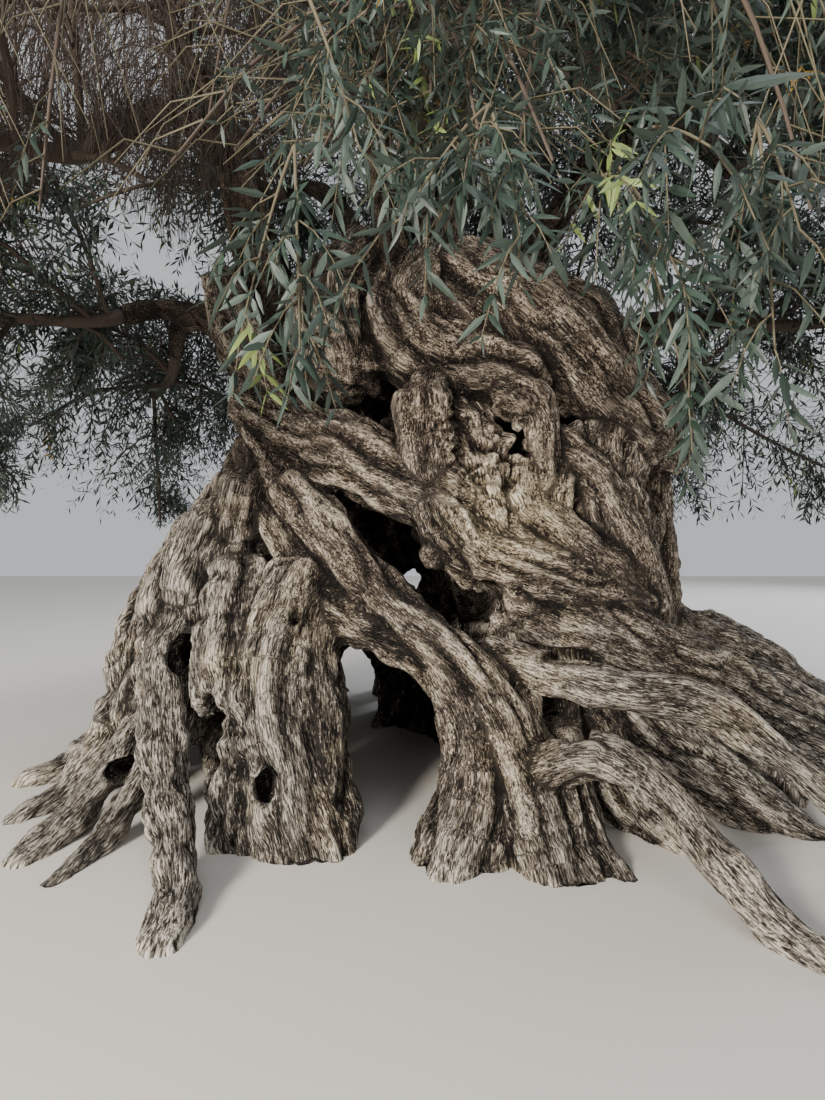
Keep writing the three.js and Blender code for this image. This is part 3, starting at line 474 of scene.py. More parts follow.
def strand_line(stations):
    """A strand as short straight pieces: its middle line, radius, way along it and direction, and a side
    vector square to it, taken from the plane it bends in, so that it never turns over."""
    line = on_curve(stations, np.linspace(0, 1, (len(stations) - 1) * STRAND_STEPS + 1))
    centre, radius = line[:, :3], line[:, 3]
    along = unit(np.gradient(centre, axis=0))
    bend = np.cross(along[0], along[-1])
    if np.linalg.norm(bend) < HARDLY_BENT:
        bend = np.cross(along[0], np.eye(3)[np.argmin(np.abs(along[0]))])
    side = unit(bend - np.sum(bend * along, axis=1, keepdims=True) * along)
    way = np.r_[0, np.cumsum(np.linalg.norm(np.diff(centre, axis=0), axis=1))]
    return {"centre": centre, "radius": radius, "along": along, "side": side, "way": way}


def left_pipes():
    """Four like strands: each station lies evenly between those of the first pipe and the last."""
    first, last = np.array(PIPE_FIRST), np.array(PIPE_LAST)
    return [lerp(first, last, k / (PIPE_COUNT - 1)) for k in range(PIPE_COUNT)]


def flare_root(foot, head, thick, hug):
    """A root from its head on the wall to its foot: out by a power of the way, and down by a power of the
    way that is left."""
    t = np.linspace(0, 1, ROOT_STEPS + 1)
    out = t**hug
    z = head[2] * (1 - t) ** ROOT_FALL - thick[0] * ROOT_SINK * t
    return np.stack([lerp(head[0], foot[0], out), lerp(head[1], foot[1], out), z,
                     lerp(thick[1], thick[0], t)], axis=1)


def back_strands():
    """Strands of the back wall: from the head over the waist and out to the foot, each at its own angle."""
    rows = []
    for k in range(BACK["count"]):
        turn = BACK["twist"] * (share(k, 2) - 0.5)
        degrees = lerp(BACK["from"], BACK["to"], k / (BACK["count"] - 1))
        degrees += BACK["scatter"] * (share(k, 1) - 0.5)
        stations = []
        for i, (part, out, high, thick) in enumerate(BACK["stations"]):
            drop = BACK["top_drop"] * share(k, 5) if i == 0 else 0
            swollen = BACK["bulge"] * share(k, 6) if i == 2 else 0
            stations.append((part, BACK["waist"] * (out + swollen), BACK["top"] * high - drop,
                             BACK["radius"] * thick))
        run = lerp(*BACK["foot_reach"], share(k, 3))
        stations.append((-1, run, -BACK["foot_radius"] * BACK["foot_sink"], BACK["foot_radius"]))
        part, out, z, thick = np.array(stations).T
        a = np.radians(degrees + turn * part)
        x, y = HEAD[0] + BACK["wide"] * out * np.sin(a), HEAD[1] - out * np.cos(a)
        rows.append(np.stack([x, y, z, thick * lerp(*BACK["fat"], share(k, 4))], axis=1))
    return rows


def covered(shape, low, step, box_low, box_high):
    """The part of a grid that a box covers, as slices, and the coordinates of its points."""
    first = np.clip(np.floor((box_low - low) / step).astype(int), 0, shape)
    last = np.clip(np.ceil((box_high - low) / step).astype(int) + 1, first, shape)
    axes = [(low[d] + step * np.arange(first[d], last[d])).astype(np.float32) for d in range(3)]
    return tuple(slice(a, b) for a, b in zip(first, last)), np.meshgrid(*axes, indexing="ij", sparse=True)


def melted(a, b, blend):
    """The smaller of two distances, rounded off where they are within `blend` of each other."""
    h = np.clip(0.5 + 0.5 * (b - a) / blend, 0, 1)
    return b + (a - b) * h - blend * h * (1 - h)


def add_strand(field, low, step, line, blend):
    """Melts a strand into the field: the distance to the nearest of its tapering straight pieces."""
    centre, radius = line["centre"].astype(np.float32), line["radius"].astype(np.float32)
    reach = radius.max() + blend + 2 * step
    cut, _ = covered(field.shape, low, step, centre.min(0) - reach, centre.max(0) + reach)
    near = np.full(field[cut].shape, FAR, np.float32)
    for a, b, ra, rb in zip(centre[:-1], centre[1:], radius[:-1], radius[1:]):
        room = max(ra, rb) + blend + 2 * step
        box, axes = covered(field.shape, low, step, np.minimum(a, b) - room, np.maximum(a, b) + room)
        local = tuple(slice(s.start - c.start, s.stop - c.start) for s, c in zip(box, cut))
        way = b - a
        x, y, z = (axes[d] - a[d] for d in range(3))
        t = np.clip((x * way[0] + y * way[1] + z * way[2]) / (way @ way), 0, 1)
        gap = np.sqrt((x - t * way[0]) ** 2 + (y - t * way[1]) ** 2 + (z - t * way[2]) ** 2)
        np.minimum(near[local], gap - lerp(ra, rb, t), out=near[local])
    field[cut] = melted(field[cut], near, blend)


def ellipsoid_gap(axes, centre, half):
    """About the distance to an ellipsoid: k (k - 1) over the slope of k, where k is 1 on its surface."""
    q = [(axes[d] - centre[d]) / half[d] for d in range(3)]
    k = np.sqrt(q[0] ** 2 + q[1] ** 2 + q[2] ** 2)
    slope = np.sqrt((q[0] / half[0]) ** 2 + (q[1] / half[1]) ** 2 + (q[2] / half[2]) ** 2)
    return k * (k - 1) / np.maximum(slope, 1e-6)


def add_ellipsoid(field, low, step, centre, half, blend, hollow=False):
    """Melts an ellipsoid into the field, or out of it."""
    room = np.array(half) + blend + 3 * step
    box, axes = covered(field.shape, low, step, np.array(centre) - room, np.array(centre) + room)
    gap = ellipsoid_gap(axes, centre, half)
    field[box] = -melted(-field[box], gap, blend) if hollow else melted(field[box], gap, blend)


def wood_strands():
    """Every strand with the name of its kind, in the order that they are laid on."""
    front = [("front", s) for s in FRONT_STRANDS.values()]
    pipes = [("pipe", s) for s in left_pipes()]
    roots = [("root", flare_root(*r)) for r in FLARE_ROOTS]
    back = [("back", s) for s in back_strands()]
    boughs = [("bough", s) for s, _ in BOUGHS.values()]
    extra = [("front", s) for s in SKIN_STRANDS]
    return [(kind, strand_line(s)) for kind, s in back + front + extra + pipes + roots + boughs]


def photo_place(u, v, depth):
    """The place that a pixel of the photograph shows at a distance in front of the camera."""
    x = CAMERA_AT[0] + (u - IMAGE_SIZE[0] / 2) / LENS_PIXELS * depth
    z = CAMERA_AT[2] + (IMAGE_SIZE[1] / 2 - v) / LENS_PIXELS * depth
    return np.stack([x, CAMERA_AT[1] + depth, z], axis=-1)


def seen_place(field, step, u, v):
    """The first place on the wood that the line of sight of a pixel of the photograph meets."""
    line = photo_place(u, v, SIGHT)
    return line[np.argmax(sampled(field, WOOD_LOW, step, line) < 0)]


def wood_field(step):
    """The distance to the wood's surface on an even grid, negative inside: heartwood and the back's strands,
    hollowed out, then the front's strands, roots and boughs laid over them."""
    shape = tuple(np.ceil((WOOD_HIGH - WOOD_LOW) / step).astype(int) + 1)
    field = np.full(shape, FAR, np.float32)
    for centre, half in HEARTWOOD:
        add_ellipsoid(field, WOOD_LOW, step, centre, half, WALL_BLEND)
    strands = wood_strands()
    for kind, line in strands:
        if kind == "back":
            add_strand(field, WOOD_LOW, step, line, WALL_BLEND)
    for centre, half in HOLLOWS:
        add_ellipsoid(field, WOOD_LOW, step, centre, half, STRAND_BLEND, hollow=True)
    for kind, line in strands:
        if kind != "back":
            add_strand(field, WOOD_LOW, step, line, BOUGH_BLEND if kind == "bough" else STRAND_BLEND)
    for u, v, half in POCKETS:
        place = seen_place(field, step, u, v)
        add_ellipsoid(field, WOOD_LOW, step, place, half, POCKET_BLEND, hollow=True)
    z = WOOD_LOW[2] + step * np.arange(shape[2])
    return np.maximum(field, (UNDERSIDE - z).astype(np.float32)), strands


def surface_net(field, low, step):
    """The field's zero surface as quads. Each grid cell that the surface passes through holds one corner,
    the mean of the points where the surface crosses the cell's edges, and each grid edge that it crosses
    joins the four cells round it."""
    inside = field < 0
    size = np.array(field.shape) - 1
    count = np.zeros(size, np.uint8)
    for i, j, k in CORNERS:
        count += inside[i : size[0] + i, j : size[1] + j, k : size[2] + k]
    cells = np.argwhere((count > 0) & (count < 8))
    value = np.stack([field[tuple((cells + c).T)] for c in CORNERS], axis=1)
    total, hits = np.zeros((len(cells), 3)), np.zeros((len(cells), 1))
    for a, b in EDGES:
        crossed = (value[:, a] < 0) != (value[:, b] < 0)
        t = value[crossed, a] / (value[crossed, a] - value[crossed, b])
        total[crossed] += CORNERS[a] + t[:, None] * (CORNERS[b] - CORNERS[a])
        hits[crossed] += 1
    number = np.full(size, -1, np.int64)
    number[tuple(cells.T)] = np.arange(len(cells))
    quads = []
    for d in range(3):
        u, v = np.eye(3, dtype=int)[(d + 1) % 3], np.eye(3, dtype=int)[(d + 2) % 3]
        ahead = np.roll(inside, -1, axis=d)
        change = inside != ahead
        change[tuple(-1 if axis == d else slice(None) for axis in range(3))] = False
        at = np.argwhere(change)
        at = at[np.all(at >= 1, axis=1) & np.all(at < size, axis=1)]
        ring = np.stack([number[tuple((at - o).T)] for o in (0 * u, u, u + v, v)], axis=1)
        out = inside[tuple(at.T)]
        quads.append(np.where(out[:, None], ring, ring[:, ::-1]))
    return low + step * (cells + total / hits), np.vstack(quads)


def edge_ends(quads):
    """The two corners of every edge of every quad, the lower number first."""
    return np.sort(quads[:, [[0, 1], [1, 2], [2, 3], [3, 0]]].reshape(-1, 2), axis=1)


def largest_body(points, faces):
    """The faces of the largest connected body: every corner takes the lowest number among its neighbours
    until nothing changes."""
    edges = edge_ends(faces)
    label = np.arange(len(points))
    while True:
        low = np.minimum(label[edges[:, 0]], label[edges[:, 1]])
        new = label.copy()
        np.minimum.at(new, edges[:, 0], low)
        np.minimum.at(new, edges[:, 1], low)
        new = new[new]
        if np.array_equal(new, label):
            break
        label = new
    main = np.bincount(label).argmax()
    return trimmed(points, faces[label[faces[:, 0]] == main])


def trimmed(points, faces, *layers):
    """Only the corners that these faces use, with any layers of values that belong to them."""
    used = np.unique(faces)
    number = np.zeros(len(points), np.int64)
    number[used] = np.arange(len(used))
    return (points[used], number[faces], *(layer[used] for layer in layers))


def divided(points, quads):
    """Each quad parted into four by the middles of its edges and its own middle."""
    ends = edge_ends(quads)
    key, back = np.unique(ends[:, 0] * len(points) + ends[:, 1], return_inverse=True)
    middle = (points[key // len(points)] + points[key % len(points)]) / 2
    edge = len(points) + back.reshape(-1, 4)
    centre = len(points) + len(middle) + np.arange(len(quads))
    parts = [np.stack([quads[:, i], edge[:, i], centre, edge[:, i - 1]], axis=1) for i in range(4)]
    return np.vstack([points, middle, points[quads].mean(1)]), np.vstack(parts)


def blended(cell, t, value):
    """The values at the eight corners of each cell, blended by the shares t of the way across it."""
    return sum(np.prod(np.where(corner, t, 1 - t), axis=1) * value(cell + corner) for corner in CORNERS)


def sampled(field, low, step, points):
    """The field at any points: each the blend of its cell's eight corners."""
    at = np.clip((points - low) / step, 0, np.array(field.shape) - 1.001)
    cell = at.astype(int)
    return blended(cell, at - cell, lambda corners: field[tuple(corners.T)])


def settled(field, low, step, points, rounds=2):
    """Points moved onto the field's zero surface, along its slope by its value, a little at a time."""
    for _ in range(rounds):
        value = sampled(field, low, step, points)
        slope = np.stack([sampled(field, low, step, points + h) - sampled(field, low, step, points - h)
                          for h in np.eye(3) * step / 2], axis=1) / step
        steepness = np.maximum(np.sum(slope**2, axis=1), LEAST_SLOPE)
        move = -(value / steepness)[:, None] * slope
        far = np.linalg.norm(move, axis=1, keepdims=True)
        points = points + move * np.minimum(1, LARGEST_MOVE * step / np.maximum(far, 1e-9))
    return points


def corner_normals(points, faces):
    """Outward directions at the corners: the mean round each of the faces' cross products, which for a quad
    is that of its diagonals, and for a triangle comes to the same as that of two sides."""
    first = points[faces[:, 2]] - points[faces[:, 0]]
    cross = np.cross(first, points[faces[:, -1]] - points[faces[:, 1]])
    flat = faces.ravel()
    spread = np.repeat(cross, faces.shape[1], axis=0)
    return unit(np.stack([np.bincount(flat, spread[:, d], len(points)) for d in range(3)], axis=1))


def neighbour_mean(values, edges, count):
    """Each corner's mean over the corners that it shares an edge with."""
    near = np.bincount(edges.ravel(), minlength=count)
    total = np.bincount(edges[:, 0], values[edges[:, 1]], count) + np.bincount(
        edges[:, 1], values[edges[:, 0]], count)
    return total / np.maximum(near, 1)


def lattice(cells):
    """A fixed share from 0 to 1 for each whole-numbered grid point, by mixing the bits of its numbers."""
    h = (cells[:, 0] * 73856093) ^ (cells[:, 1] * 19349663) ^ (cells[:, 2] * 83492791)
    for _ in range(2):
        h = ((h ^ (h >> 16)) * 0x45D9F3B) & 0xFFFFFFFF
    return (h ^ (h >> 16)) / 2**32


def noise(place, size, seed=0.0):
    """Smooth noise from 0 to 1 on a lattice of a size in metres, which the seed shifts: the shares of the
    eight lattice points round each place, blended by an S."""
    p = place / np.asarray(size) + seed
    cell = np.floor(p).astype(np.int64)
    return blended(cell, smooth_step(0, 1, p - cell), lattice)


def folds(place, size, seed=0.0, level=0.0):
    """Noise folded at its middle: broad backs with sharp furrows between them, from 0 to 1, less a level."""
    return np.minimum(np.abs(2 * noise(place, size, seed) - 1) * FOLD_HEIGHT, 1) - level


def drift(place, size, seed):
    """Three noises side by side, from -0.5 to 0.5: which way, and how far, a place strays."""
    return np.stack([noise(place, size, seed * k) for k in range(3)], axis=1) - 0.5


def strand_grain(line, points):
    """For each point its distance to a strand's surface, and its place in the strand's own frame: two
    distances across the strand's middle line, and the way along it."""
    a, b = line["centre"][:-1], line["centre"][1:]
    way = b - a
    t = np.clip(np.sum((points[:, None] - a) * way, axis=2) / np.sum(way**2, axis=1), 0, 1)
    off = points[:, None] - (a + t[..., None] * way)
    gap = np.linalg.norm(off, axis=2) - lerp(line["radius"][:-1], line["radius"][1:], t)
    k = np.argmin(gap, axis=1)
    row = np.arange(len(points))
    t, off = t[row, k][:, None], off[row, k]
    along = unit(lerp(line["along"][k], line["along"][k + 1], t))
    side = unit(lerp(line["side"][k], line["side"][k + 1], t))
    other = np.cross(along, side)
    s = lerp(line["way"][k], line["way"][k + 1], t[:, 0])
    return gap[row, k], np.stack([np.sum(off * side, 1), np.sum(off * other, 1), s], axis=1)


def bark_height(grain, place, thick, knobbly, burl):
    """How far the bark stands out, in metres, at places in a strand's own frame. Folded noise at three sizes,
    all stretched along the strand: flutes about 210 mm apart, ropes 100 mm and fibres 50 mm. Round lumps and
    knobs, the same in every direction, are added where the wood is knobbly, and smaller eyes and swirls on
    the burl. Thin strands carry less."""
    bark = tree_settings()
    wander, swirl = drift(place, *WANDER), drift(place, *SWIRL)
    g = grain + (STRAY["plain"] + STRAY["knobbly"] * knobbly[:, None]) * wander
    g = g + STRAY["burl"] * burl[:, None] * swirl
    height = bark.flutes * folds(g, *FLUTE) + bark.ropes * folds(g, *ROPE) + bark.fibres * folds(g, *FIBRE)
    lump = folds(place + STRAY["lump"] * wander, *LUMP)
    knob = folds(place + STRAY["knob"] * wander, *KNOB)
    eye = folds(place + STRAY["knob"] * swirl, *EYE)
    (full, least), (full_knobs, least_knobs) = FULL_BARK, FULL_KNOBS
    swollen = knobbly * np.clip(thick / full_knobs, least_knobs, 1)
    height += bark.knobs * (swollen * (lump + KNOB_SHARE * knob) + EYE_SHARE * burl * eye)
    return height * np.clip(thick / full, least, 1)


def knobbly_shares(place):
    """Where the wood is covered in knobs, which is on the burl, the feet on the left and in patches, and how
    much of the burl is there."""
    burl = inside_share(place, BURL, *KNOBBLY["burl"])
    feet = smooth_step(*KNOBBLY["feet_x"], place[:, 0]) * smooth_step(*KNOBBLY["feet_z"], place[:, 2])
    patch = smooth_step(*KNOBBLY["patch"], noise(place, *KNOBBLY["patch_noise"]))
    of_burl, of_feet, of_patch = KNOBBLY["shares"]
    return np.clip(of_burl * burl + of_feet * feet + of_patch * patch, 0, KNOBBLY["most"]), burl


def inside_share(points, ellipsoids, full, none):
    """1 where points lie under `full` of the way out to the surface of any of the ellipsoids, fading to 0 at
    `none` of it."""
    depth = [np.linalg.norm((points - centre) / np.array(half), axis=1) for centre, half in ellipsoids]
    return 1 - smooth_step(full, none, np.min(depth, axis=0))


def ringed_eyes(points, field, step):
    """How far the burl's eyes stand out: round each one a wave of its own distance, fading outwards."""
    height = np.zeros(len(points))
    for u, v, size in EYES:
        far = np.linalg.norm(points - seen_place(field, step, u, v), axis=1)
        height += EYE_HEIGHT * np.cos(2 * math.pi * far / (EYE_RING * size)) * np.exp(-((far / size) ** 2))
    return height


@functools.lru_cache(maxsize=1)
def wood_skin(step):
    """The skin of the trunk and boughs, with its bark: corner places, quads, outward directions, each
    corner's grain frame, the painted shade of its creases and of the hollow, and whether a bough is nearest
    to it.
    The bark's height is the mean of the near strands' own, and the nearer ones weigh more. A corner is
    painted darker as far as it lies below its smoothed surroundings, as shade in a crease, and darker still
    inside the hollow."""
    field, strands = wood_field(step)
    points, quads = divided(*largest_body(*surface_net(field, WOOD_LOW, step)))
    points = settled(field, WOOD_LOW, step, points)
    normals = corner_normals(points, quads)
    knobbly, burl = knobbly_shares(points)
    total_weight = np.full(len(points), math.exp(-PLAIN_REACH / MIX))
    thick = np.full(len(points), PLAIN_THICK)
    height = total_weight * bark_height(points, points, thick, knobbly, burl)
    nearest = np.full(len(points), PLAIN_REACH)
    grain, bough = points.copy(), np.zeros(len(points), bool)
    for number, (kind, line) in enumerate(strands):
        room = line["radius"].max() + REACH
        low, high = line["centre"].min(0) - room, line["centre"].max(0) + room
        at = np.flatnonzero(np.all((points > low) & (points < high), axis=1))
        gap, own = strand_grain(line, points[at])
        near = gap < REACH
        at, gap, own = at[near], gap[near], own[near]
        own[:, 2] += STRAND_SHIFT * number
        weight = np.exp(-gap / MIX)
        thick = np.full(len(at), line["radius"].mean())
        height[at] += weight * bark_height(own, points[at], thick, knobbly[at], burl[at])
        total_weight[at] += weight
        first = gap < nearest[at]
        nearest[at[first]] = gap[first]
        grain[at[first]] = own[first]
        bough[at[first]] = kind == "bough"
    height = height / total_weight + ringed_eyes(points, field, step)
    points = points + normals * height[:, None]
    points[:, 2] = np.maximum(points[:, 2], 0)
    edges = np.unique(edge_ends(quads), axis=0)
    soft = points.copy()
    for _ in range(FURROW_ROUNDS):
        soft = np.stack([neighbour_mean(soft[:, d], edges, len(points)) for d in range(3)], axis=1)
    normals = corner_normals(points, quads)
    # Painted shade: each corner is darkened as far as it lies below its smoothed surroundings, as a crease is
    # shaded
    furrow_and_shade = np.clip(np.sum((soft - points) * normals, axis=1) / FURROW_DEPTH, -1, 1)
    # Painted shade inside the hollow is added on top
    return points, quads, normals, grain, furrow_and_shade + HOLLOW_SHADE * inside_share(points, HOLLOWS, *HOLLOW_SHADE_FADE), bough


def weathering(place):
    """How grey and lichened the wood is, from 0 under the crown to 1 at the feet and on the left, with soft
    patches, and where it is bleached bare: round the burl, and on scattered crests."""
    low = smooth_step(*WEATHER["low"], place[:, 2])
    left = smooth_step(*WEATHER["left_x"], place[:, 0]) * smooth_step(*WEATHER["left_z"], place[:, 2])
    far = smooth_step(*WEATHER["far"], np.hypot(place[:, 0] - HEAD[0], place[:, 1]))
    cloud = noise(place, *WEATHER["cloud"]) - 0.5
    of_low, of_left, of_far, of_cloud = WEATHER["shares"]
    grey = np.clip(of_low * low + of_left * left + of_far * far + of_cloud * cloud, 0, 1)
    burl = inside_share(place, BLEACHED, *WEATHER["burl"])
    burl = burl * (WEATHER["burl_least"] + noise(place, WEATHER["burl_noise"]))
    crest = smooth_step(*WEATHER["crest"], noise(place, *WEATHER["crest_noise"]))
    crest = crest * smooth_step(*WEATHER["crest_z"], place[:, 2])
    return grey, np.clip(burl + WEATHER["crest_share"] * crest, 0, 1)


def mass_centres():
    """The middle of each mass of the crown: the apex, and rings round the head, clockwise from the front."""
    centres = {"apex": [HEAD[0], HEAD[1], APEX_HEIGHT]}
    for name, sides, radius, height in RINGS:
        for k, side in enumerate(sides):
            a = k / len(sides) * 2 * math.pi
            x, y = HEAD[0] + radius * math.sin(a), HEAD[1] - radius * math.cos(a)
            centres[f"{name}_{side}"] = [x, y, height]
    return centres


CENTRES = mass_centres()
MASSES = list(CENTRES)
MASS_NODES = ["mass_" + mass for mass in MASSES]
MIDDLE = np.array(list(CENTRES.values()), float)


def depth_in(dome, p):
    """How deep points lie in a dome: under 1 inside it, 1 on its surface."""
    return np.linalg.norm((p - dome[0]) / dome[1], axis=-1)


def outline(p):
    """The crown's outline swells and sinks: a wave round it times a wave up it."""
    a = np.arctan2(p[..., 0] - HEAD[0], p[..., 1] - HEAD[1])
    wave = np.sin(LUMPS["round"] * a + LUMPS["lean"] * p[..., 2])
    wave = wave * np.cos(LUMPS["rise"] * p[..., 2] + LUMPS["phase"])
    return 1 + LUMPS["depth"] * (wave - LUMPS["mean"])


def crown_foot(p):
    """How low the crown hangs, which is higher in front."""
    across = np.hypot(p[..., 0] - HEAD[0], p[..., 1] - HEAD[1])
    facing = np.maximum((HEAD[1] - p[..., 1]) / np.maximum(across, 0.001), 0)
    return lerp(CROWN_FOOT["low"], CROWN_FOOT["front"], facing ** CROWN_FOOT["narrow"])


def in_cell(own, p, margin):
    """Whether points keep to the space of their own mass: nearer its middle than any other's, above the
    crown's foot, outside the open dome and inside the outline."""
    own = np.broadcast_to(own, p.shape[:-1])
    away = np.sum((p[..., None, :] - MIDDLE) ** 2, axis=-1)
    mine = np.take_along_axis(away, own[..., None], axis=-1)
    between = np.linalg.norm(MIDDLE[:, None] - MIDDLE[None], axis=-1)[own]
    nearest = (away - mine > 2 * margin * between) | (np.arange(len(MIDDLE)) == own[..., None])
    domed = (depth_in(SHADE, p) > 1) & (depth_in(CROWN, p) < outline(p))
    return nearest.all(axis=-1) & domed & (p[..., 2] > crown_foot(p) + margin)


def last_allowed(inside, goal, own, margin):
    """The last point from `inside` towards `goal` that still keeps to the mass's space, by halving."""
    low, high = 0.0, 1.0
    for _ in range(HALVINGS):
        middle = (low + high) / 2
        if in_cell(own, lerp(inside, goal, middle), margin):
            low = middle
        else:
            high = middle
    return lerp(inside, goal, low)


@functools.lru_cache(maxsize=1)
def limb_paths():
    """Every limb above the trunk: each bough, and a branch from its fork to the edge of each mass."""
    boughs, branches = {}, {}
    for name, (stations, feeds) in BOUGHS.items():
        boughs[name] = np.array(stations)
        before, fork = boughs[name][-2, :3], boughs[name][-1, :3]
        onward = unit(fork - before)
        foot = min(BRANCH["foot"], stations[-1][3] * BRANCH["of_fork"])
        for i, mass in enumerate(feeds):
            own = MASSES.index(mass)
            middle = MIDDLE[own]
            shortest = lerp(fork, middle, BRANCH["shortest"] / np.linalg.norm(middle - fork))
            entry = last_allowed(middle, shortest, own, BRANCH["deep"])
            length = np.linalg.norm(entry - fork)
            bend = lerp(fork, entry, BRANCH["bend_at"]) + onward * length * BRANCH["bend"]
            bend[2] += length * BRANCH["rise"] * (i + 1)
            middle = [*bend, foot * BRANCH["middle"]]
            branches[mass] = np.array([[*fork, foot], middle, [*entry, BRANCH["tip"]]])
    return boughs, branches


@functools.lru_cache(maxsize=1)
def limb_pieces():
    """Short straight pieces of every limb, and the largest radius of each limb, for keeping clear of them."""
    limbs = [stations for kind in limb_paths() for stations in kind.values()]
    lines = np.stack([on_curve(s, np.linspace(0, 1, LIMB_STEPS + 1))[:, :3] for s in limbs])
    radii = np.repeat([s[:, 3].max() for s in limbs], LIMB_STEPS)
    return lines[:, :-1].reshape(-1, 3), lines[:, 1:].reshape(-1, 3), radii


def clear_of_limbs(p, margin):
    """Whether points keep their distance from every limb."""
    a, b, radius = limb_pieces()
    clear = np.ones(p.shape[:-1], bool)
    for start, end, r in zip(a, b, radius):
        way = end - start
        t = np.clip((p - start) @ way / (way @ way), 0, 1)
        clear &= np.linalg.norm(p - start - t[..., None] * way, axis=-1) > r + margin
    return clear


def mass_stem(mass):
    """A mass's stem: it takes over from its branch's tip, runs straight on, then turns to the middle."""
    route = limb_paths()[1][mass]
    ahead = unit(route[-1, :3] - route[-2, :3])
    start = route[-1, :3] + ahead * GAP
    straight = start + ahead * STEM["straight"]
    end = lerp(straight, MIDDLE[MASSES.index(mass)], STEM["reach"])
    middle = [*straight, lerp(STEM["foot"], STEM["tip"], 0.5)]
    return np.array([[*start, STEM["foot"]], middle, [*end, STEM["tip"]]])


def mass_twigs(mass):
    """A mass's main twigs: from its stem to points spread evenly round its space, pulled back inside it."""
    own, stem = MASSES.index(mass), mass_stem(mass)
    count = TWIGS["bare"] if mass in BARE else TWIGS["leafy"]
    twigs = []
    for k in range(count):
        up = 1 - 2 * (k + 0.5) / count
        level, turn = math.sqrt(1 - up * up), k * GOLDEN_ANGLE
        way = np.array([level * math.cos(turn), level * math.sin(turn), up])
        start = on_curve(stem, np.array([lerp(TWIGS["from"], TWIGS["to"], k / (count - 1))]))[0, :3]
        goal = MIDDLE[own] + way * TWIGS["far"]
        tip = last_allowed(MIDDLE[own], goal, own, TWIGS["tip_margins"] * CELL_MARGIN)
        bend = lerp(start, tip, 0.5)
        rise = 1 if up > TWIGS["steep"] else TWIGS["droop"]
        bend[2] += TWIGS["arch"] * np.linalg.norm(tip - start) * rise
        middle = [*bend, lerp(TWIGS["foot"], TWIGS["tip"], 0.5)]
        twig = np.array([[*start, TWIGS["foot"]], middle, [*tip, TWIGS["tip"]]])
        path = on_curve(twig, FIT_AT)[:, :3]
        clear = np.all(clear_of_limbs(path, TWIGS["foot"] + LIMB_MARGIN))
        if clear and np.all(in_cell(own, path, TWIGS["path_margins"] * CELL_MARGIN)):
            twigs.append(twig)
    return stem, twigs


def bowed(start, way, length, sag):
    """Curves as three points each: a start, a middle a little along the way, and an end that has sunk."""
    end = start + way * length[:, None]
    middle = start + way * length[:, None] * 0.5
    middle[:, 2] += sag * length * BOW_RISE
    end[:, 2] -= sag * length * BOW_FALL
    return np.stack([start, middle, end], axis=1)


def bow_at(curves, t):
    """Points at shares t of such curves, and the directions there. They are quadratic Bezier curves that pass
    through all three points."""
    a, m, b = curves[:, 0], curves[:, 1], curves[:, 2]
    pull = 2 * m - (a + b) / 2
    t = np.asarray(t)[..., None]
    place = (1 - t) ** 2 * a + 2 * t * (1 - t) * pull + t**2 * b
    return place, unit((1 - t) * (pull - a) + t * (b - pull))


def round_about(way, angle):
    """Directions square to `way`, turned about it by an angle from the most upright one."""
    other = unit(np.cross(way, np.where(np.abs(way[..., 2:]) > NEARLY_UPRIGHT, [1.0, 0, 0], [0, 0, 1.0])))
    side = np.cross(other, way)
    return side * np.cos(angle)[..., None] + other * np.sin(angle)[..., None]


def lean_out(along, out, rule):
    """A shoot's direction: partly along its parent, partly out from it, and lifted or let down."""
    return unit(rule["forward"] * along + rule["out"] * out + np.array([0, 0, rule["lift"]]))


def grown(parents, own, count, rule, span, seed):
    """Side growth on curves. Each parent carries `count` starts spread evenly over `span` of it, a golden
    angle apart round it. Each one leans out by `rule`, and where its middle or end would leave its mass's
    space or meet a limb it is turned and shortened a few times, then skipped."""
    k = np.tile(np.arange(count), len(parents))
    parent = np.repeat(np.arange(len(parents)), count)
    t = lerp(span[0], span[1], (k + share(parent, seed)) / count)
    at, along = bow_at(parents[parent], t)
    turn = GOLDEN_ANGLE * k + WHOLE_TURN * share(parent, seed + 1)
    length = lerp(*rule["long"], share(parent * 31 + k, seed + 2)) * lerp(1, rule["taper"], t)
    curves = np.zeros((len(t), 3, 3))
    waiting = np.ones(len(t), bool)
    for turns in range(TRIES):
        i = np.flatnonzero(waiting)
        way = lean_out(along[i], round_about(along[i], turn[i] + turns * GOLDEN_ANGLE * TRY_TURN), rule)
        new = bowed(at[i], way, length[i] * TRY_SHORTER**turns, rule["sag"])
        fits = np.all((new[:, 2] > BOX_LOW - PROUD) & (new[:, 2] < BOX_HIGH + PROUD), axis=1)
        for place in (new[:, 1], new[:, 2]):
            fits &= in_cell(own[parent[i]], place, CELL_MARGIN) & clear_of_limbs(place, LIMB_MARGIN)
        curves[i[fits]] = new[fits]
        waiting[i[fits]] = False
    return curves[~waiting], own[parent[~waiting]]


def three_points(stations):
    """A stem or twig as a curve of three points."""
    return on_curve(stations, np.array([0, 0.5, 1.0]))[:, :3]


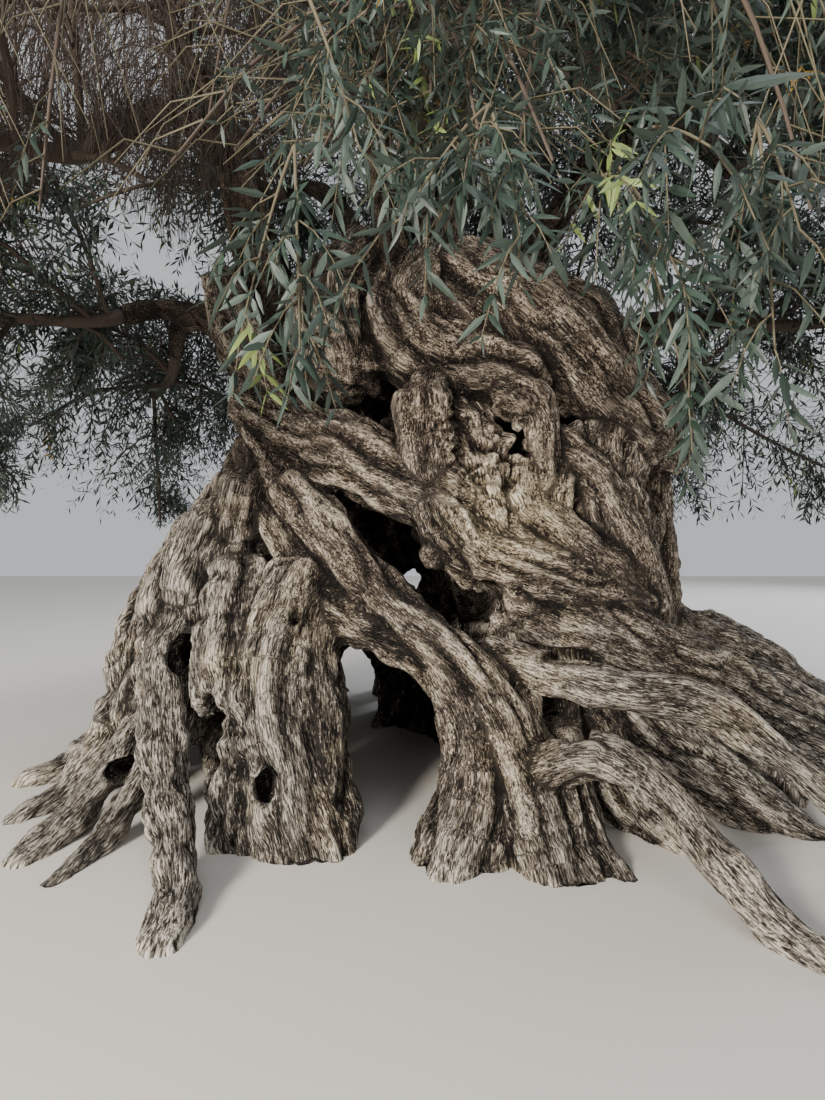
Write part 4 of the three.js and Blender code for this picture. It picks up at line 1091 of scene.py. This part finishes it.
@functools.lru_cache(maxsize=1)
def crown():
    """The whole crown's growth: stems and main twigs by the solids' rule, then side twigs, then shoots."""
    counts = tree_settings()
    stems, mains, own = [], [], []
    for number, mass in enumerate(MASSES):
        stem, twigs = mass_twigs(mass)
        stems.append(stem)
        mains += twigs
        own += [number] * len(twigs)
    own = np.array(own + list(range(len(MASSES))))
    lines = np.array([three_points(t) for t in mains + stems])
    bare = np.isin(own, [MASSES.index(m) for m in BARE])
    leafy, leafy_own = lines[~bare], own[~bare]
    sides, side_own = grown(leafy, leafy_own, counts.side_twigs, SIDE_TWIGS, *SPANS["sides"])
    shoots, _ = grown(sides, side_own, counts.shoots, SHOOTS, *SPANS["shoots"])
    ends, _ = grown(leafy, leafy_own, counts.side_twigs, SHOOTS, *SPANS["ends"])
    bare_sides, bare_own = grown(lines[bare], own[bare], counts.bare_twigs, BARE_TWIGS, *SPANS["bare_sides"])
    bare_shoots, _ = grown(bare_sides, bare_own, counts.bare_shoots, BARE_SHOOTS, *SPANS["bare_shoots"])
    return {"stems": stems, "mains": mains, "sides": sides, "shoots": np.vstack([shoots, ends]),
            "bare_sides": bare_sides, "bare_shoots": bare_shoots}


def tubes(lines, radii, sides):
    """Round twigs along many lines at once: a ring of `sides` corners at each point, square to the line,
    joined ring to ring, with both ends closed. Lines is (twigs, points, 3) and radii is (twigs, points)."""
    count, rings = lines.shape[:2]
    along = unit(np.gradient(lines, axis=1))
    flat = np.where(np.abs(along[:, :1, 2:]) > UPRIGHT_TWIG, [1.0, 0, 0], [0, 0, 1.0])
    side = unit(np.cross(along, flat))
    other = np.cross(along, side)
    a = (np.arange(sides) / sides * 2 * math.pi)[None, None, :, None]
    ring = np.cos(a) * side[:, :, None] + np.sin(a) * other[:, :, None]
    points = (lines[:, :, None] + radii[:, :, None, None] * ring).reshape(-1, 3)
    j, i = np.meshgrid(np.arange(sides), np.arange(rings - 1))
    p, q = (i * sides + j).ravel(), (i * sides + (j + 1) % sides).ravel()
    wall = np.vstack([np.stack([p, q, q + sides], 1), np.stack([p, q + sides, p + sides], 1)])
    fan = np.arange(1, sides - 1)
    last = (rings - 1) * sides
    foot_cap = np.stack([0 * fan, fan + 1, fan], 1)
    caps = np.vstack([foot_cap, np.stack([last + 0 * fan, last + fan, last + fan + 1], 1)])
    one = np.vstack([wall, caps])
    faces = one[None] + (np.arange(count) * rings * sides)[:, None, None]
    return points, faces.reshape(-1, 3)


def leaf_places(shoots, pairs, seed, length):
    """Opposite pairs of leaves along shoots, each pair a quarter turn from the last. Returns the shoot's
    number, the foot, the direction, the upper side's direction and the length of every leaf."""
    rule = LEAF_SET
    node = np.tile(np.repeat(np.arange(pairs), 2), len(shoots))
    shoot = np.repeat(np.arange(len(shoots)), 2 * pairs)
    number = np.arange(len(node))
    t = lerp(rule["from"], 1.0, node / (pairs - 1))
    foot, along = bow_at(shoots[shoot], t)
    turn = math.pi * (number % 2) + math.pi / 2 * node + WHOLE_TURN * share(shoot, seed)
    turn += rule["play"] * (share(number, seed + 1) - 0.5)
    lean = lerp(*rule["lean"], share(number, seed + 2))[:, None]
    ahead, less = rule["forward"]
    way = along * (ahead - less * lean) + round_about(along, turn) * lean
    way = unit(way + np.array([0, 0, -rule["droop"]]))
    tilt = np.stack([share(number, seed + k) for k in (3, 4, 5)], 1) - 0.5
    upper = unit(np.array([0, 0, 1.0]) + rule["along"] * along + rule["tilt"] * tilt)
    upper = unit(upper - np.sum(upper * way, 1, keepdims=True) * way)
    size = length * lerp(*rule["size"], share(number, seed + 6))
    return shoot, foot, way, upper, size * np.where(t > rule["last"], rule["last_size"], 1)


def small_leaves(foot, way, upper, size, width):
    """Leaves of four faces: foot and tip joined by a raised rib, and the two sides of the blade a little
    below it, so that two faces look up and two look down."""
    rib = foot + way * (size * 0.5)[:, None] + upper * (size * SMALL_LEAF["rib"])[:, None]
    half = np.cross(way, upper) * (size * width / 2)[:, None]
    low = -upper * (size * SMALL_LEAF["edge"])[:, None]
    corners = np.stack([foot, foot + way * size[:, None], rib + half + low, rib - half + low], axis=1)
    faces = np.array([[0, 2, 1], [0, 1, 3], [0, 3, 2], [1, 2, 3]])
    return corners.reshape(-1, 3), faces, 4, np.array([0, 0, 1, 1])


def full_leaves(foot, way, upper, size, width):
    """Leaves of sixteen faces: a narrow blade, widest before its middle, folded a little along its rib and
    bent down towards its tip. The faces below are those above, with the rib's lower corners for its upper
    ones, and turned over."""
    way, upper, size = way[:, None], upper[:, None], size[:, None, None]
    t, half = np.array(FULL_LEAF["at"], float)[:, None], np.array(FULL_LEAF["half"])[:, None] * width / 2
    rib = foot[:, None] + size * (way * t - upper * (FULL_LEAF["sink"] * t**2))
    edge = size * (np.cross(way, upper) * half - upper * (half * FULL_LEAF["fold"]))
    ends, middle, thin = rib[:, [0, 3]], rib[:, 1:3], size * FULL_LEAF["thick"] * upper
    sides = [middle + thin, middle - thin, middle + edge[:, 1:3], middle - edge[:, 1:3]]
    corners = np.concatenate([ends, *sides], axis=1)
    base, tip, top1, top2, low1, low2, right1, right2, left1, left2 = range(10)
    top = np.array([
        [base, right1, top1], [right1, right2, top1], [top1, right2, top2], [right2, tip, top2],
        [base, top1, left1], [left1, top1, left2], [top1, top2, left2], [left2, top2, tip],
    ])
    low = np.choose(top, [base, tip, low1, low2, low1, low2, right1, right2, left1, left2])[:, [0, 2, 1]]
    return corners.reshape(-1, 3), np.vstack([top, low]), 10, np.repeat([0, 1], 8)


@functools.lru_cache(maxsize=1)
def hanging_growth():
    """The sprays that hang in front of the trunk. Each leaves the nearest shoot of the crown that is higher,
    and bows down to its own place."""
    tips = crown()["shoots"][:, 2]
    lines, shoots = [], []
    for number, (u, v, depth, count) in enumerate(HANGING):
        end = photo_place(u, v, depth)
        higher = np.where(tips[:, 2] > end[2] + HANG["fall"], np.linalg.norm(tips - end, axis=1), FAR)
        start = tips[np.argmin(higher)]
        middle = lerp(start, end, HANG["bend_at"])
        middle[2] += HANG["bend"] * (start - end)[2]
        lines.append([start, middle, end])
        k = np.arange(count)
        at, along = bow_at(np.repeat([lines[-1]], count, axis=0), lerp(HANG["from"], 1.0, (k + 1) / count))
        way = lean_out(along, round_about(along, GOLDEN_ANGLE * k + number), HANGING_SHOOTS)
        long = lerp(*HANGING_SHOOTS["long"], share(k, number))
        shoots.append(bowed(at, way, long, HANGING_SHOOTS["sag"]))
    return {"hanging": np.array(lines), "hanging_shoots": np.vstack(shoots)}


def branch_skin():
    """The branches from the boughs' forks to the masses, swept round their middle lines and swollen here and
    there: corner places, faces, outward directions, and the values that the bark's material reads."""
    rule = BRANCH_SKIN
    path = np.stack([on_curve(s, np.linspace(0, 1, rule["rings"])) for s in limb_paths()[1].values()])
    line, radius = path[..., :3], path[..., 3]
    lumps = noise(line.reshape(-1, 3), rule["lump"]).reshape(radius.shape)
    radius = radius * (rule["least"] + rule["swell"] * lumps)
    points, faces = tubes(line, radius, rule["sides"])
    normals = corner_normals(points, faces)
    turn = np.tile(np.arange(rule["sides"]) / rule["sides"] * 2 * math.pi, radius.size)
    wide, ring = (np.repeat(v, rule["sides"]) for v in (radius.ravel(), np.arange(radius.size)))
    grain = np.stack([wide * np.cos(turn), wide * np.sin(turn), ring * rule["apart"]], axis=1)
    furrow_and_shade = 1 - 2 * folds(grain, rule["fibre"])
    points = points - normals * (furrow_and_shade * rule["relief"])[:, None]
    # The grooves between the fibres are sunk, and also darkened by painted shade
    return points, faces, normals, grain, rule["shade"] * furrow_and_shade, *weathering(points)


def linear(code):
    """An sRGB colour such as #8a7660 as linear red, green and blue."""
    parts = [int(code[i : i + 2], 16) / 255 for i in (1, 3, 5)]
    return tuple(p / 12.92 if p <= 0.04045 else ((p + 0.055) / 1.055) ** 2.4 for p in parts)


def add_node(tree, kind, settings=None, links=None, stops=None):
    """Adds a node. A setting is an input's value where its key is an input's name or number, else a property
    of the node. Links join outputs to its inputs, and stops are a colour ramp's places and colours."""
    made = tree.nodes.new(kind)
    for key, value in (settings or {}).items():
        if isinstance(key, int) or key in made.inputs:
            made.inputs[key].default_value = value
        else:
            setattr(made, key, value)
    for key, output in (links or {}).items():
        tree.links.new(output, made.inputs[key])
    if stops:
        ramp = made.color_ramp.elements
        while len(ramp) < len(stops):
            ramp.new(0.5)
        for element, (place, colour) in zip(ramp, stops):
            element.position = place
            element.color = (*colour, 1)
    return made


def blank_material(name, settings):
    """A material with one principled shader, and its values that are the same all over."""
    material = bpy.data.materials.new(name)
    material.use_nodes = True
    tree = material.node_tree
    shader = tree.nodes["Principled BSDF"]
    for key, value in settings.items():
        shader.inputs[key].default_value = value
    return material, tree, shader


def bark_material(name, colours):
    """Weathered olive bark and bare wood: dry, dull and fibrous, darkened in its furrows and creases by
    painted shade and pale on its crests, partly its own tone and partly a painted highlight, grey with lichen
    where it is old, and cream where it has lost its bark."""
    material, tree, shader = blank_material(name, {"Roughness": 0.92, "Specular IOR Level": 0.2})
    read = {k: add_node(tree, "ShaderNodeAttribute", {"attribute_name": k}) for k in BARK_LAYERS}
    furrow_and_shade, grey, bare = (read[k].outputs["Fac"] for k in BARK_LAYERS[1:])
    place = add_node(tree, "ShaderNodeTexCoord").outputs["Object"]
    strips = []
    for (wide, long), bent in ((FIBRE_MM, 0.5), (FLAKE_MM, 1.0)):
        grain = add_node(tree, "ShaderNodeMapping", {"Scale": (1000 / wide, 1000 / wide, 1000 / long)},
                         {"Vector": read["grain"].outputs["Vector"]}).outputs["Vector"]
        settings = {"Scale": 1.0, "Detail": 3.0, "Roughness": 0.72, "Distortion": bent}
        strips.append(add_node(tree, "ShaderNodeTexNoise", settings, {"Vector": grain}).outputs["Fac"])
    grit, stain = (
        add_node(tree, "ShaderNodeTexNoise", {"Scale": 1000 / size, "Detail": detail},
                 {"Vector": place}).outputs["Fac"]
        for size, detail in ((GRIT_MM, 3.0), (STAIN_MM, 4.0))
    )
    fibrous = add_node(tree, "ShaderNodeMapRange", {"To Min": 0.35, "To Max": 0.8},
                       {"Value": grey}).outputs[0]
    high = add_node(tree, "ShaderNodeMix", None, {0: fibrous, 2: strips[1], 3: strips[0]}).outputs[0]
    # The grain's strips, less the painted shade of the creases
    grain_and_shade = add_node(tree, "ShaderNodeMath", {"operation": "MULTIPLY_ADD", 1: -FURROW_SHADE},
                    {0: furrow_and_shade, 2: high}).outputs[0]
    # Each ramp runs from near-black where the grain is low, painted shade in its furrows, to its palest where
    # the grain is high, partly the wood's own tone and partly a painted highlight
    brown, lichen, cream = (
        add_node(tree, "ShaderNodeValToRGB", None, {"Fac": grain_and_shade},
                 list(zip(BARK_STOPS, map(linear, colours[kind])))).outputs["Color"]
        for kind in ("brown", "lichen", "cream")
    )
    clouds = add_node(tree, "ShaderNodeMapRange", {"From Min": 0.5, "From Max": 0.7, "To Max": 0.6},
                      {"Value": stain}).outputs[0]
    dark = (*linear(colours["brown"][1]), 1)
    wood = add_node(tree, "ShaderNodeMix", {"data_type": "RGBA", 7: dark}, {0: clouds, 6: brown})
    for amount, coat in ((grey, lichen), (bare, cream)):
        wood = add_node(tree, "ShaderNodeMix", {"data_type": "RGBA"},
                        {0: amount, 6: wood.outputs[2], 7: coat})
    tree.links.new(wood.outputs[2], shader.inputs["Base Color"])
    low = add_node(tree, "ShaderNodeBump", {"Strength": 1.0, "Distance": BARK_BUMP}, {"Height": high})
    fine = add_node(tree, "ShaderNodeBump", {"Strength": 0.4, "Distance": GRIT_BUMP},
                    {"Height": grit, "Normal": low.outputs["Normal"]})
    tree.links.new(fine.outputs["Normal"], shader.inputs["Normal"])
    return material


def plain_material(name, colour, roughness, specular=0.5):
    """A plain base colour, dealt out by spray, with the gloss of the real surface."""
    return blank_material(name, {"Base Color": (*colour, 1), "Roughness": roughness,
                                 "Specular IOR Level": specular})[0]


def mesh_piece(name, points, faces, materials, nodes, face_material=None, layers=None, normals=None):
    """A new mesh object from whole arrays: corners, faces, each face's material, named corner values and
    corner directions. It rides on the root body and stands for the named nodes."""
    mesh = bpy.data.meshes.new(name)
    mesh.vertices.add(len(points))
    mesh.vertices.foreach_set("co", np.ascontiguousarray(points, np.float32).ravel())
    mesh.loops.add(faces.size)
    mesh.loops.foreach_set("vertex_index", np.ascontiguousarray(faces, np.int32).ravel())
    mesh.polygons.add(len(faces))
    mesh.polygons.foreach_set("loop_start", np.arange(len(faces), dtype=np.int32) * faces.shape[1])
    for material in materials:
        mesh.materials.append(material)
    if face_material is not None:
        mesh.polygons.foreach_set("material_index", np.ascontiguousarray(face_material, np.int32))
    mesh.polygons.foreach_set("use_smooth", np.full(len(faces), normals is not None))
    for key, values in (layers or {}).items():
        kind, field = ("FLOAT_VECTOR", "vector") if values.ndim == 2 else ("FLOAT", "value")
        layer = mesh.attributes.new(key, kind, "POINT")
        layer.data.foreach_set(field, np.ascontiguousarray(values, np.float32).ravel())
    mesh.update(calc_edges=True)
    if normals is not None:
        mesh.normals_split_custom_set_from_vertices(normals.astype(np.float32))
    made = bpy.data.objects.new(name, mesh)
    bpy.context.scene.collection.objects.link(made)
    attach(made, "root")
    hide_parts(*nodes)
    return made


def length_property(name, description, default, least=0.0):
    """A length that the sidebar shows, in metres."""
    return bpy.props.FloatProperty(name=name, description=description, default=default, min=least,
                                   unit="LENGTH")


def count_property(name, description, default, least=1):
    """A whole number that the sidebar shows."""
    return bpy.props.IntProperty(name=name, description=description, default=default, min=least)


def colour_property(name, description, code):
    """A colour that the sidebar shows, from its sRGB code."""
    return bpy.props.FloatVectorProperty(
        name=name, description=description, default=linear(code), subtype="COLOR")


class OliveTree(bpy.types.PropertyGroup):
    """The sizes and colours that can be changed before the pieces are made."""

    skin_step: length_property("Skin grid", "Spacing of the grid that the skin is worked out on", 0.037, 0.01)
    flutes: length_property("Flutes", "Height of the broad flutes", 0.055)
    ropes: length_property("Ropes", "Height of the ropes of wood", 0.036)
    fibres: length_property("Fibres", "Height of the coarse fibres", 0.017)
    knobs: length_property("Knobs", "Height of the round knobs", 0.06)
    side_twigs: count_property("Side twigs", "Side twigs on each stem and main twig", 14)
    shoots: count_property("Shoots", "Shoots on each side twig", 11)
    pairs: count_property("Leaf pairs", "Pairs of leaves on a shoot", 5, 2)
    near_pairs: count_property("Near leaf pairs", "Pairs of leaves on a shoot near the camera", 7, 2)
    bare_twigs: count_property("Bare twigs", "Side twigs on each limb of a bare mass", 30)
    bare_shoots: count_property("Bare shoots", "Shoots on each bare twig", 14)
    leaf_long: length_property("Leaf length", "Length of a leaf, larger than life for the count's sake", 0.12)
    near_leaf_long: length_property("Near leaf length", "Length of a real leaf", 0.064)
    leaf_wide: bpy.props.FloatProperty(
        name="Leaf width", description="A leaf's width as a share of its length", default=0.175)
    leaf_green: colour_property("Leaf", "Upper side of most leaves", "#1e2c23")
    leaf_silver: colour_property("Leaf underside", "Underside of the leaves", "#435048")


class MakeWood(bpy.types.Operator):
    """Make the skin of the trunk, boughs and branches, with its bark"""

    bl_idname = "olive.make_wood"
    bl_label = "Trunk and boughs"

    def execute(self, context):
        points, quads, *values, bough = wood_skin(tree_settings().skin_step)
        values += weathering(points)
        trunk_bark = bark_material("weathered_olive_bark", TRUNK_COLOURS)
        bough_bark = bark_material("dark_olive_bark", BOUGH_COLOURS)
        middle = points[quads].mean(1)
        limb = bough[quads].mean(1) >= 0.5
        order = np.argsort(np.arctan2(middle[:, 1] - HEAD[1], middle[:, 0] - HEAD[0]))
        order = order[~limb[order]]
        parts = np.array_split(order, math.ceil(2 * len(order) / PIECE_LIMIT))
        groups = [(f"trunk_skin_{k + 1}", trimmed(points, quads[part], *values), trunk_bark, TRUNK_NODES,
                   "bark") for k, part in enumerate(parts)]
        groups += [("boughs", trimmed(points, quads[limb], *values), bough_bark, BOUGH_NODES, "bough_bark"),
                   ("branches", branch_skin(), bough_bark, BRANCH_NODES, "bough_bark")]
        for name, (p, f, n, *layers), bark, nodes, slot in groups:
            mesh_piece(name, p, f, [bark], nodes, None, dict(zip(BARK_LAYERS, layers)), n)
        return {"FINISHED"}


class MakeTwigs(bpy.types.Operator):
    """Make the twigs that carry the leaves, and the bare hanging twigs on the left"""

    bl_idname = "olive.make_twigs"
    bl_label = "Twigs"

    def execute(self, context):
        growth = crown() | hanging_growth()
        barks = [plain_material(name, linear(colour), rough, 0.3) for name, colour, rough in TWIG_BARK]
        groups = []
        for key, (sides, count) in STEM_TUBES.items():
            path = np.stack([on_curve(s, np.linspace(0, 1, count)) for s in growth[key]])
            groups.append((path[..., :3], path[..., 3], sides, 0))
        for key, (foot, tip, sides, count, kind) in TWIG_TUBES.items():
            curves, s = growth[key], np.linspace(0, 1, count)
            path = np.stack([bow_at(curves, np.full(len(curves), v))[0] for v in s], axis=1)
            groups.append((path, np.broadcast_to(lerp(foot, tip, s), path.shape[:2]), sides, kind))
        points, faces, kinds, base = [], [], [], 0
        for path, radii, sides, kind in groups:
            p, f = tubes(path, radii, sides)
            points.append(p)
            faces.append(f + base)
            kinds.append(np.full(len(f), kind))
            base += len(p)
        points, faces, kinds = np.vstack(points), np.vstack(faces), np.concatenate(kinds)
        parts = np.array_split(np.arange(len(faces)), math.ceil(len(faces) / PIECE_LIMIT))
        for k, part in enumerate(parts):
            p, f = trimmed(points, faces[part])
            mesh_piece(f"twigs_{k + 1}", p, f, barks, MASS_NODES, kinds[part], None,
                       corner_normals(p, f))
        return {"FINISHED"}


class MakeLeaves(bpy.types.Operator):
    """Make the leaves, dealt out in sprays of one colour each"""

    bl_idname = "olive.make_leaves"
    bl_label = "Leaves"

    def execute(self, context):
        look = tree_settings()
        green, silver = np.array(look.leaf_green), np.array(look.leaf_silver)
        materials = [plain_material(name, linear(tone) if isinstance(tone, str) else green * tone, 0.5, 0.4)
                     for name, tone, _ in UPPER_SIDES]
        materials += [plain_material(name, silver * tone, 0.6, 0.4) for name, tone in UNDERSIDES]
        shoots = crown()["shoots"]
        tip = shoots[:, 2]
        bare_side = smooth_step(*BARE_SIDE_X, tip[:, 0]) * smooth_step(*BARE_SIDE_Y, tip[:, 1])
        close = np.linalg.norm(tip - CAMERA_AT, axis=1) < NEAR
        leafless = np.maximum(BARE_SIDE_LEAFLESS * bare_side, NEAR_LEAFLESS * close)
        leafy = share(np.arange(len(tip)), SEED["leafy"]) > leafless
        near = np.vstack([shoots[leafy & close], hanging_growth()["hanging_shoots"]])
        for name, curves, pairs, long, shape in (
            ("leaves", shoots[leafy & ~close], look.pairs, look.leaf_long, small_leaves),
            ("near_leaves", near, look.near_pairs, look.near_leaf_long, full_leaves),
        ):
            if not len(curves):
                raise RuntimeError(f"no shoots were grown for the {name}")
            shoot, foot, way, upper, size = leaf_places(curves, pairs, SEED["leaf"], long)
            points, faces, corners, side_of = shape(foot, way, upper, size, look.leaf_wide)
            deal = share(shoot, SEED["colour"])
            colour = np.searchsorted([last for *_, last in UPPER_SIDES[:-1]], deal, side="right")
            under = len(UPPER_SIDES) + (share(shoot, SEED["under"]) > DULL_FROM)
            kinds = np.where(side_of[None] == 0, colour[:, None], under[:, None])
            per_piece = PIECE_LIMIT // len(faces)
            for k, first in enumerate(range(0, len(foot), per_piece)):
                last = min(first + per_piece, len(foot))
                f = (faces[None] + (np.arange(last - first) * corners)[:, None, None]).reshape(-1, 3)
                mesh_piece(f"{name}_{k + 1}", points[first * corners : last * corners], f, materials,
                           MASS_NODES, kinds[first:last].ravel())
        return {"FINISHED"}


class MakeStage(bpy.types.Operator):
    """Make the floor, the lights and the camera"""

    bl_idname = "olive.make_stage"
    bl_label = "Stage"

    def execute(self, context):
        scene = context.scene
        bpy.ops.mesh.primitive_plane_add(size=FLOOR_SIZE)
        floor = context.active_object
        floor.name = "floor"
        floor.data.materials.append(plain_material("pale_floor", linear(FLOOR_COLOUR), 0.9, 0.2))
        world = scene.world or bpy.data.worlds.new("pale_room")
        scene.world = world
        world.use_nodes = True
        back = world.node_tree.nodes["Background"]
        back.inputs["Color"].default_value = (*linear(ROOM_COLOUR), 1)
        back.inputs["Strength"].default_value = ROOM_LIGHT
        for name, at, towards, size, power, colour in LIGHTS:
            lamp = bpy.data.lights.new(name, "AREA")
            lamp.shape, lamp.size, lamp.size_y = "RECTANGLE", *size
            lamp.energy, lamp.color = power, linear(colour)
            made = bpy.data.objects.new(name, lamp)
            made.location = at
            aim = np.array(towards) - np.array(at)
            made.rotation_mode = "QUATERNION"
            made.rotation_quaternion = mathutils.Vector(aim).to_track_quat("-Z", "Y")
            scene.collection.objects.link(made)
        lens = bpy.data.cameras.new("camera")
        lens.sensor_width, lens.lens = SENSOR, LENS_PIXELS / IMAGE_SIZE[1] * SENSOR
        lens.clip_start, lens.clip_end = CLIP
        camera = bpy.data.objects.new("camera", lens)
        camera.location = CAMERA_AT
        camera.rotation_euler = (math.pi / 2, 0, 0)
        scene.collection.objects.link(camera)
        scene.camera = camera
        return {"FINISHED"}


class OlivePanel(bpy.types.Panel):
    """Lists the sizes and the pieces of the olive tree"""

    bl_idname = "VIEW3D_PT_olive_tree"
    bl_label = "Olive tree"
    bl_space_type = "VIEW_3D"
    bl_region_type = "UI"
    bl_category = "Olive tree"

    def draw(self, context):
        for key in OliveTree.__annotations__:
            self.layout.prop(context.scene.olive_tree, key)
        for step in STEPS:
            self.layout.operator(step.bl_idname)


STEPS = (MakeWood, MakeTwigs, MakeLeaves, MakeStage)
CLASSES = (OliveTree, *STEPS, OlivePanel)


def register():
    for kind in CLASSES:
        bpy.utils.register_class(kind)
    bpy.types.Scene.olive_tree = bpy.props.PointerProperty(type=OliveTree)


def unregister():
    del bpy.types.Scene.olive_tree
    for kind in reversed(CLASSES):
        bpy.utils.unregister_class(kind)


def main():
    """Registers the settings, steps and panel, then makes every piece in order."""
    register()
    bpy.ops.olive.make_wood()
    bpy.ops.olive.make_twigs()
    bpy.ops.olive.make_leaves()
    bpy.ops.olive.make_stage()
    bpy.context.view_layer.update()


if __name__ == "__main__":
    main()
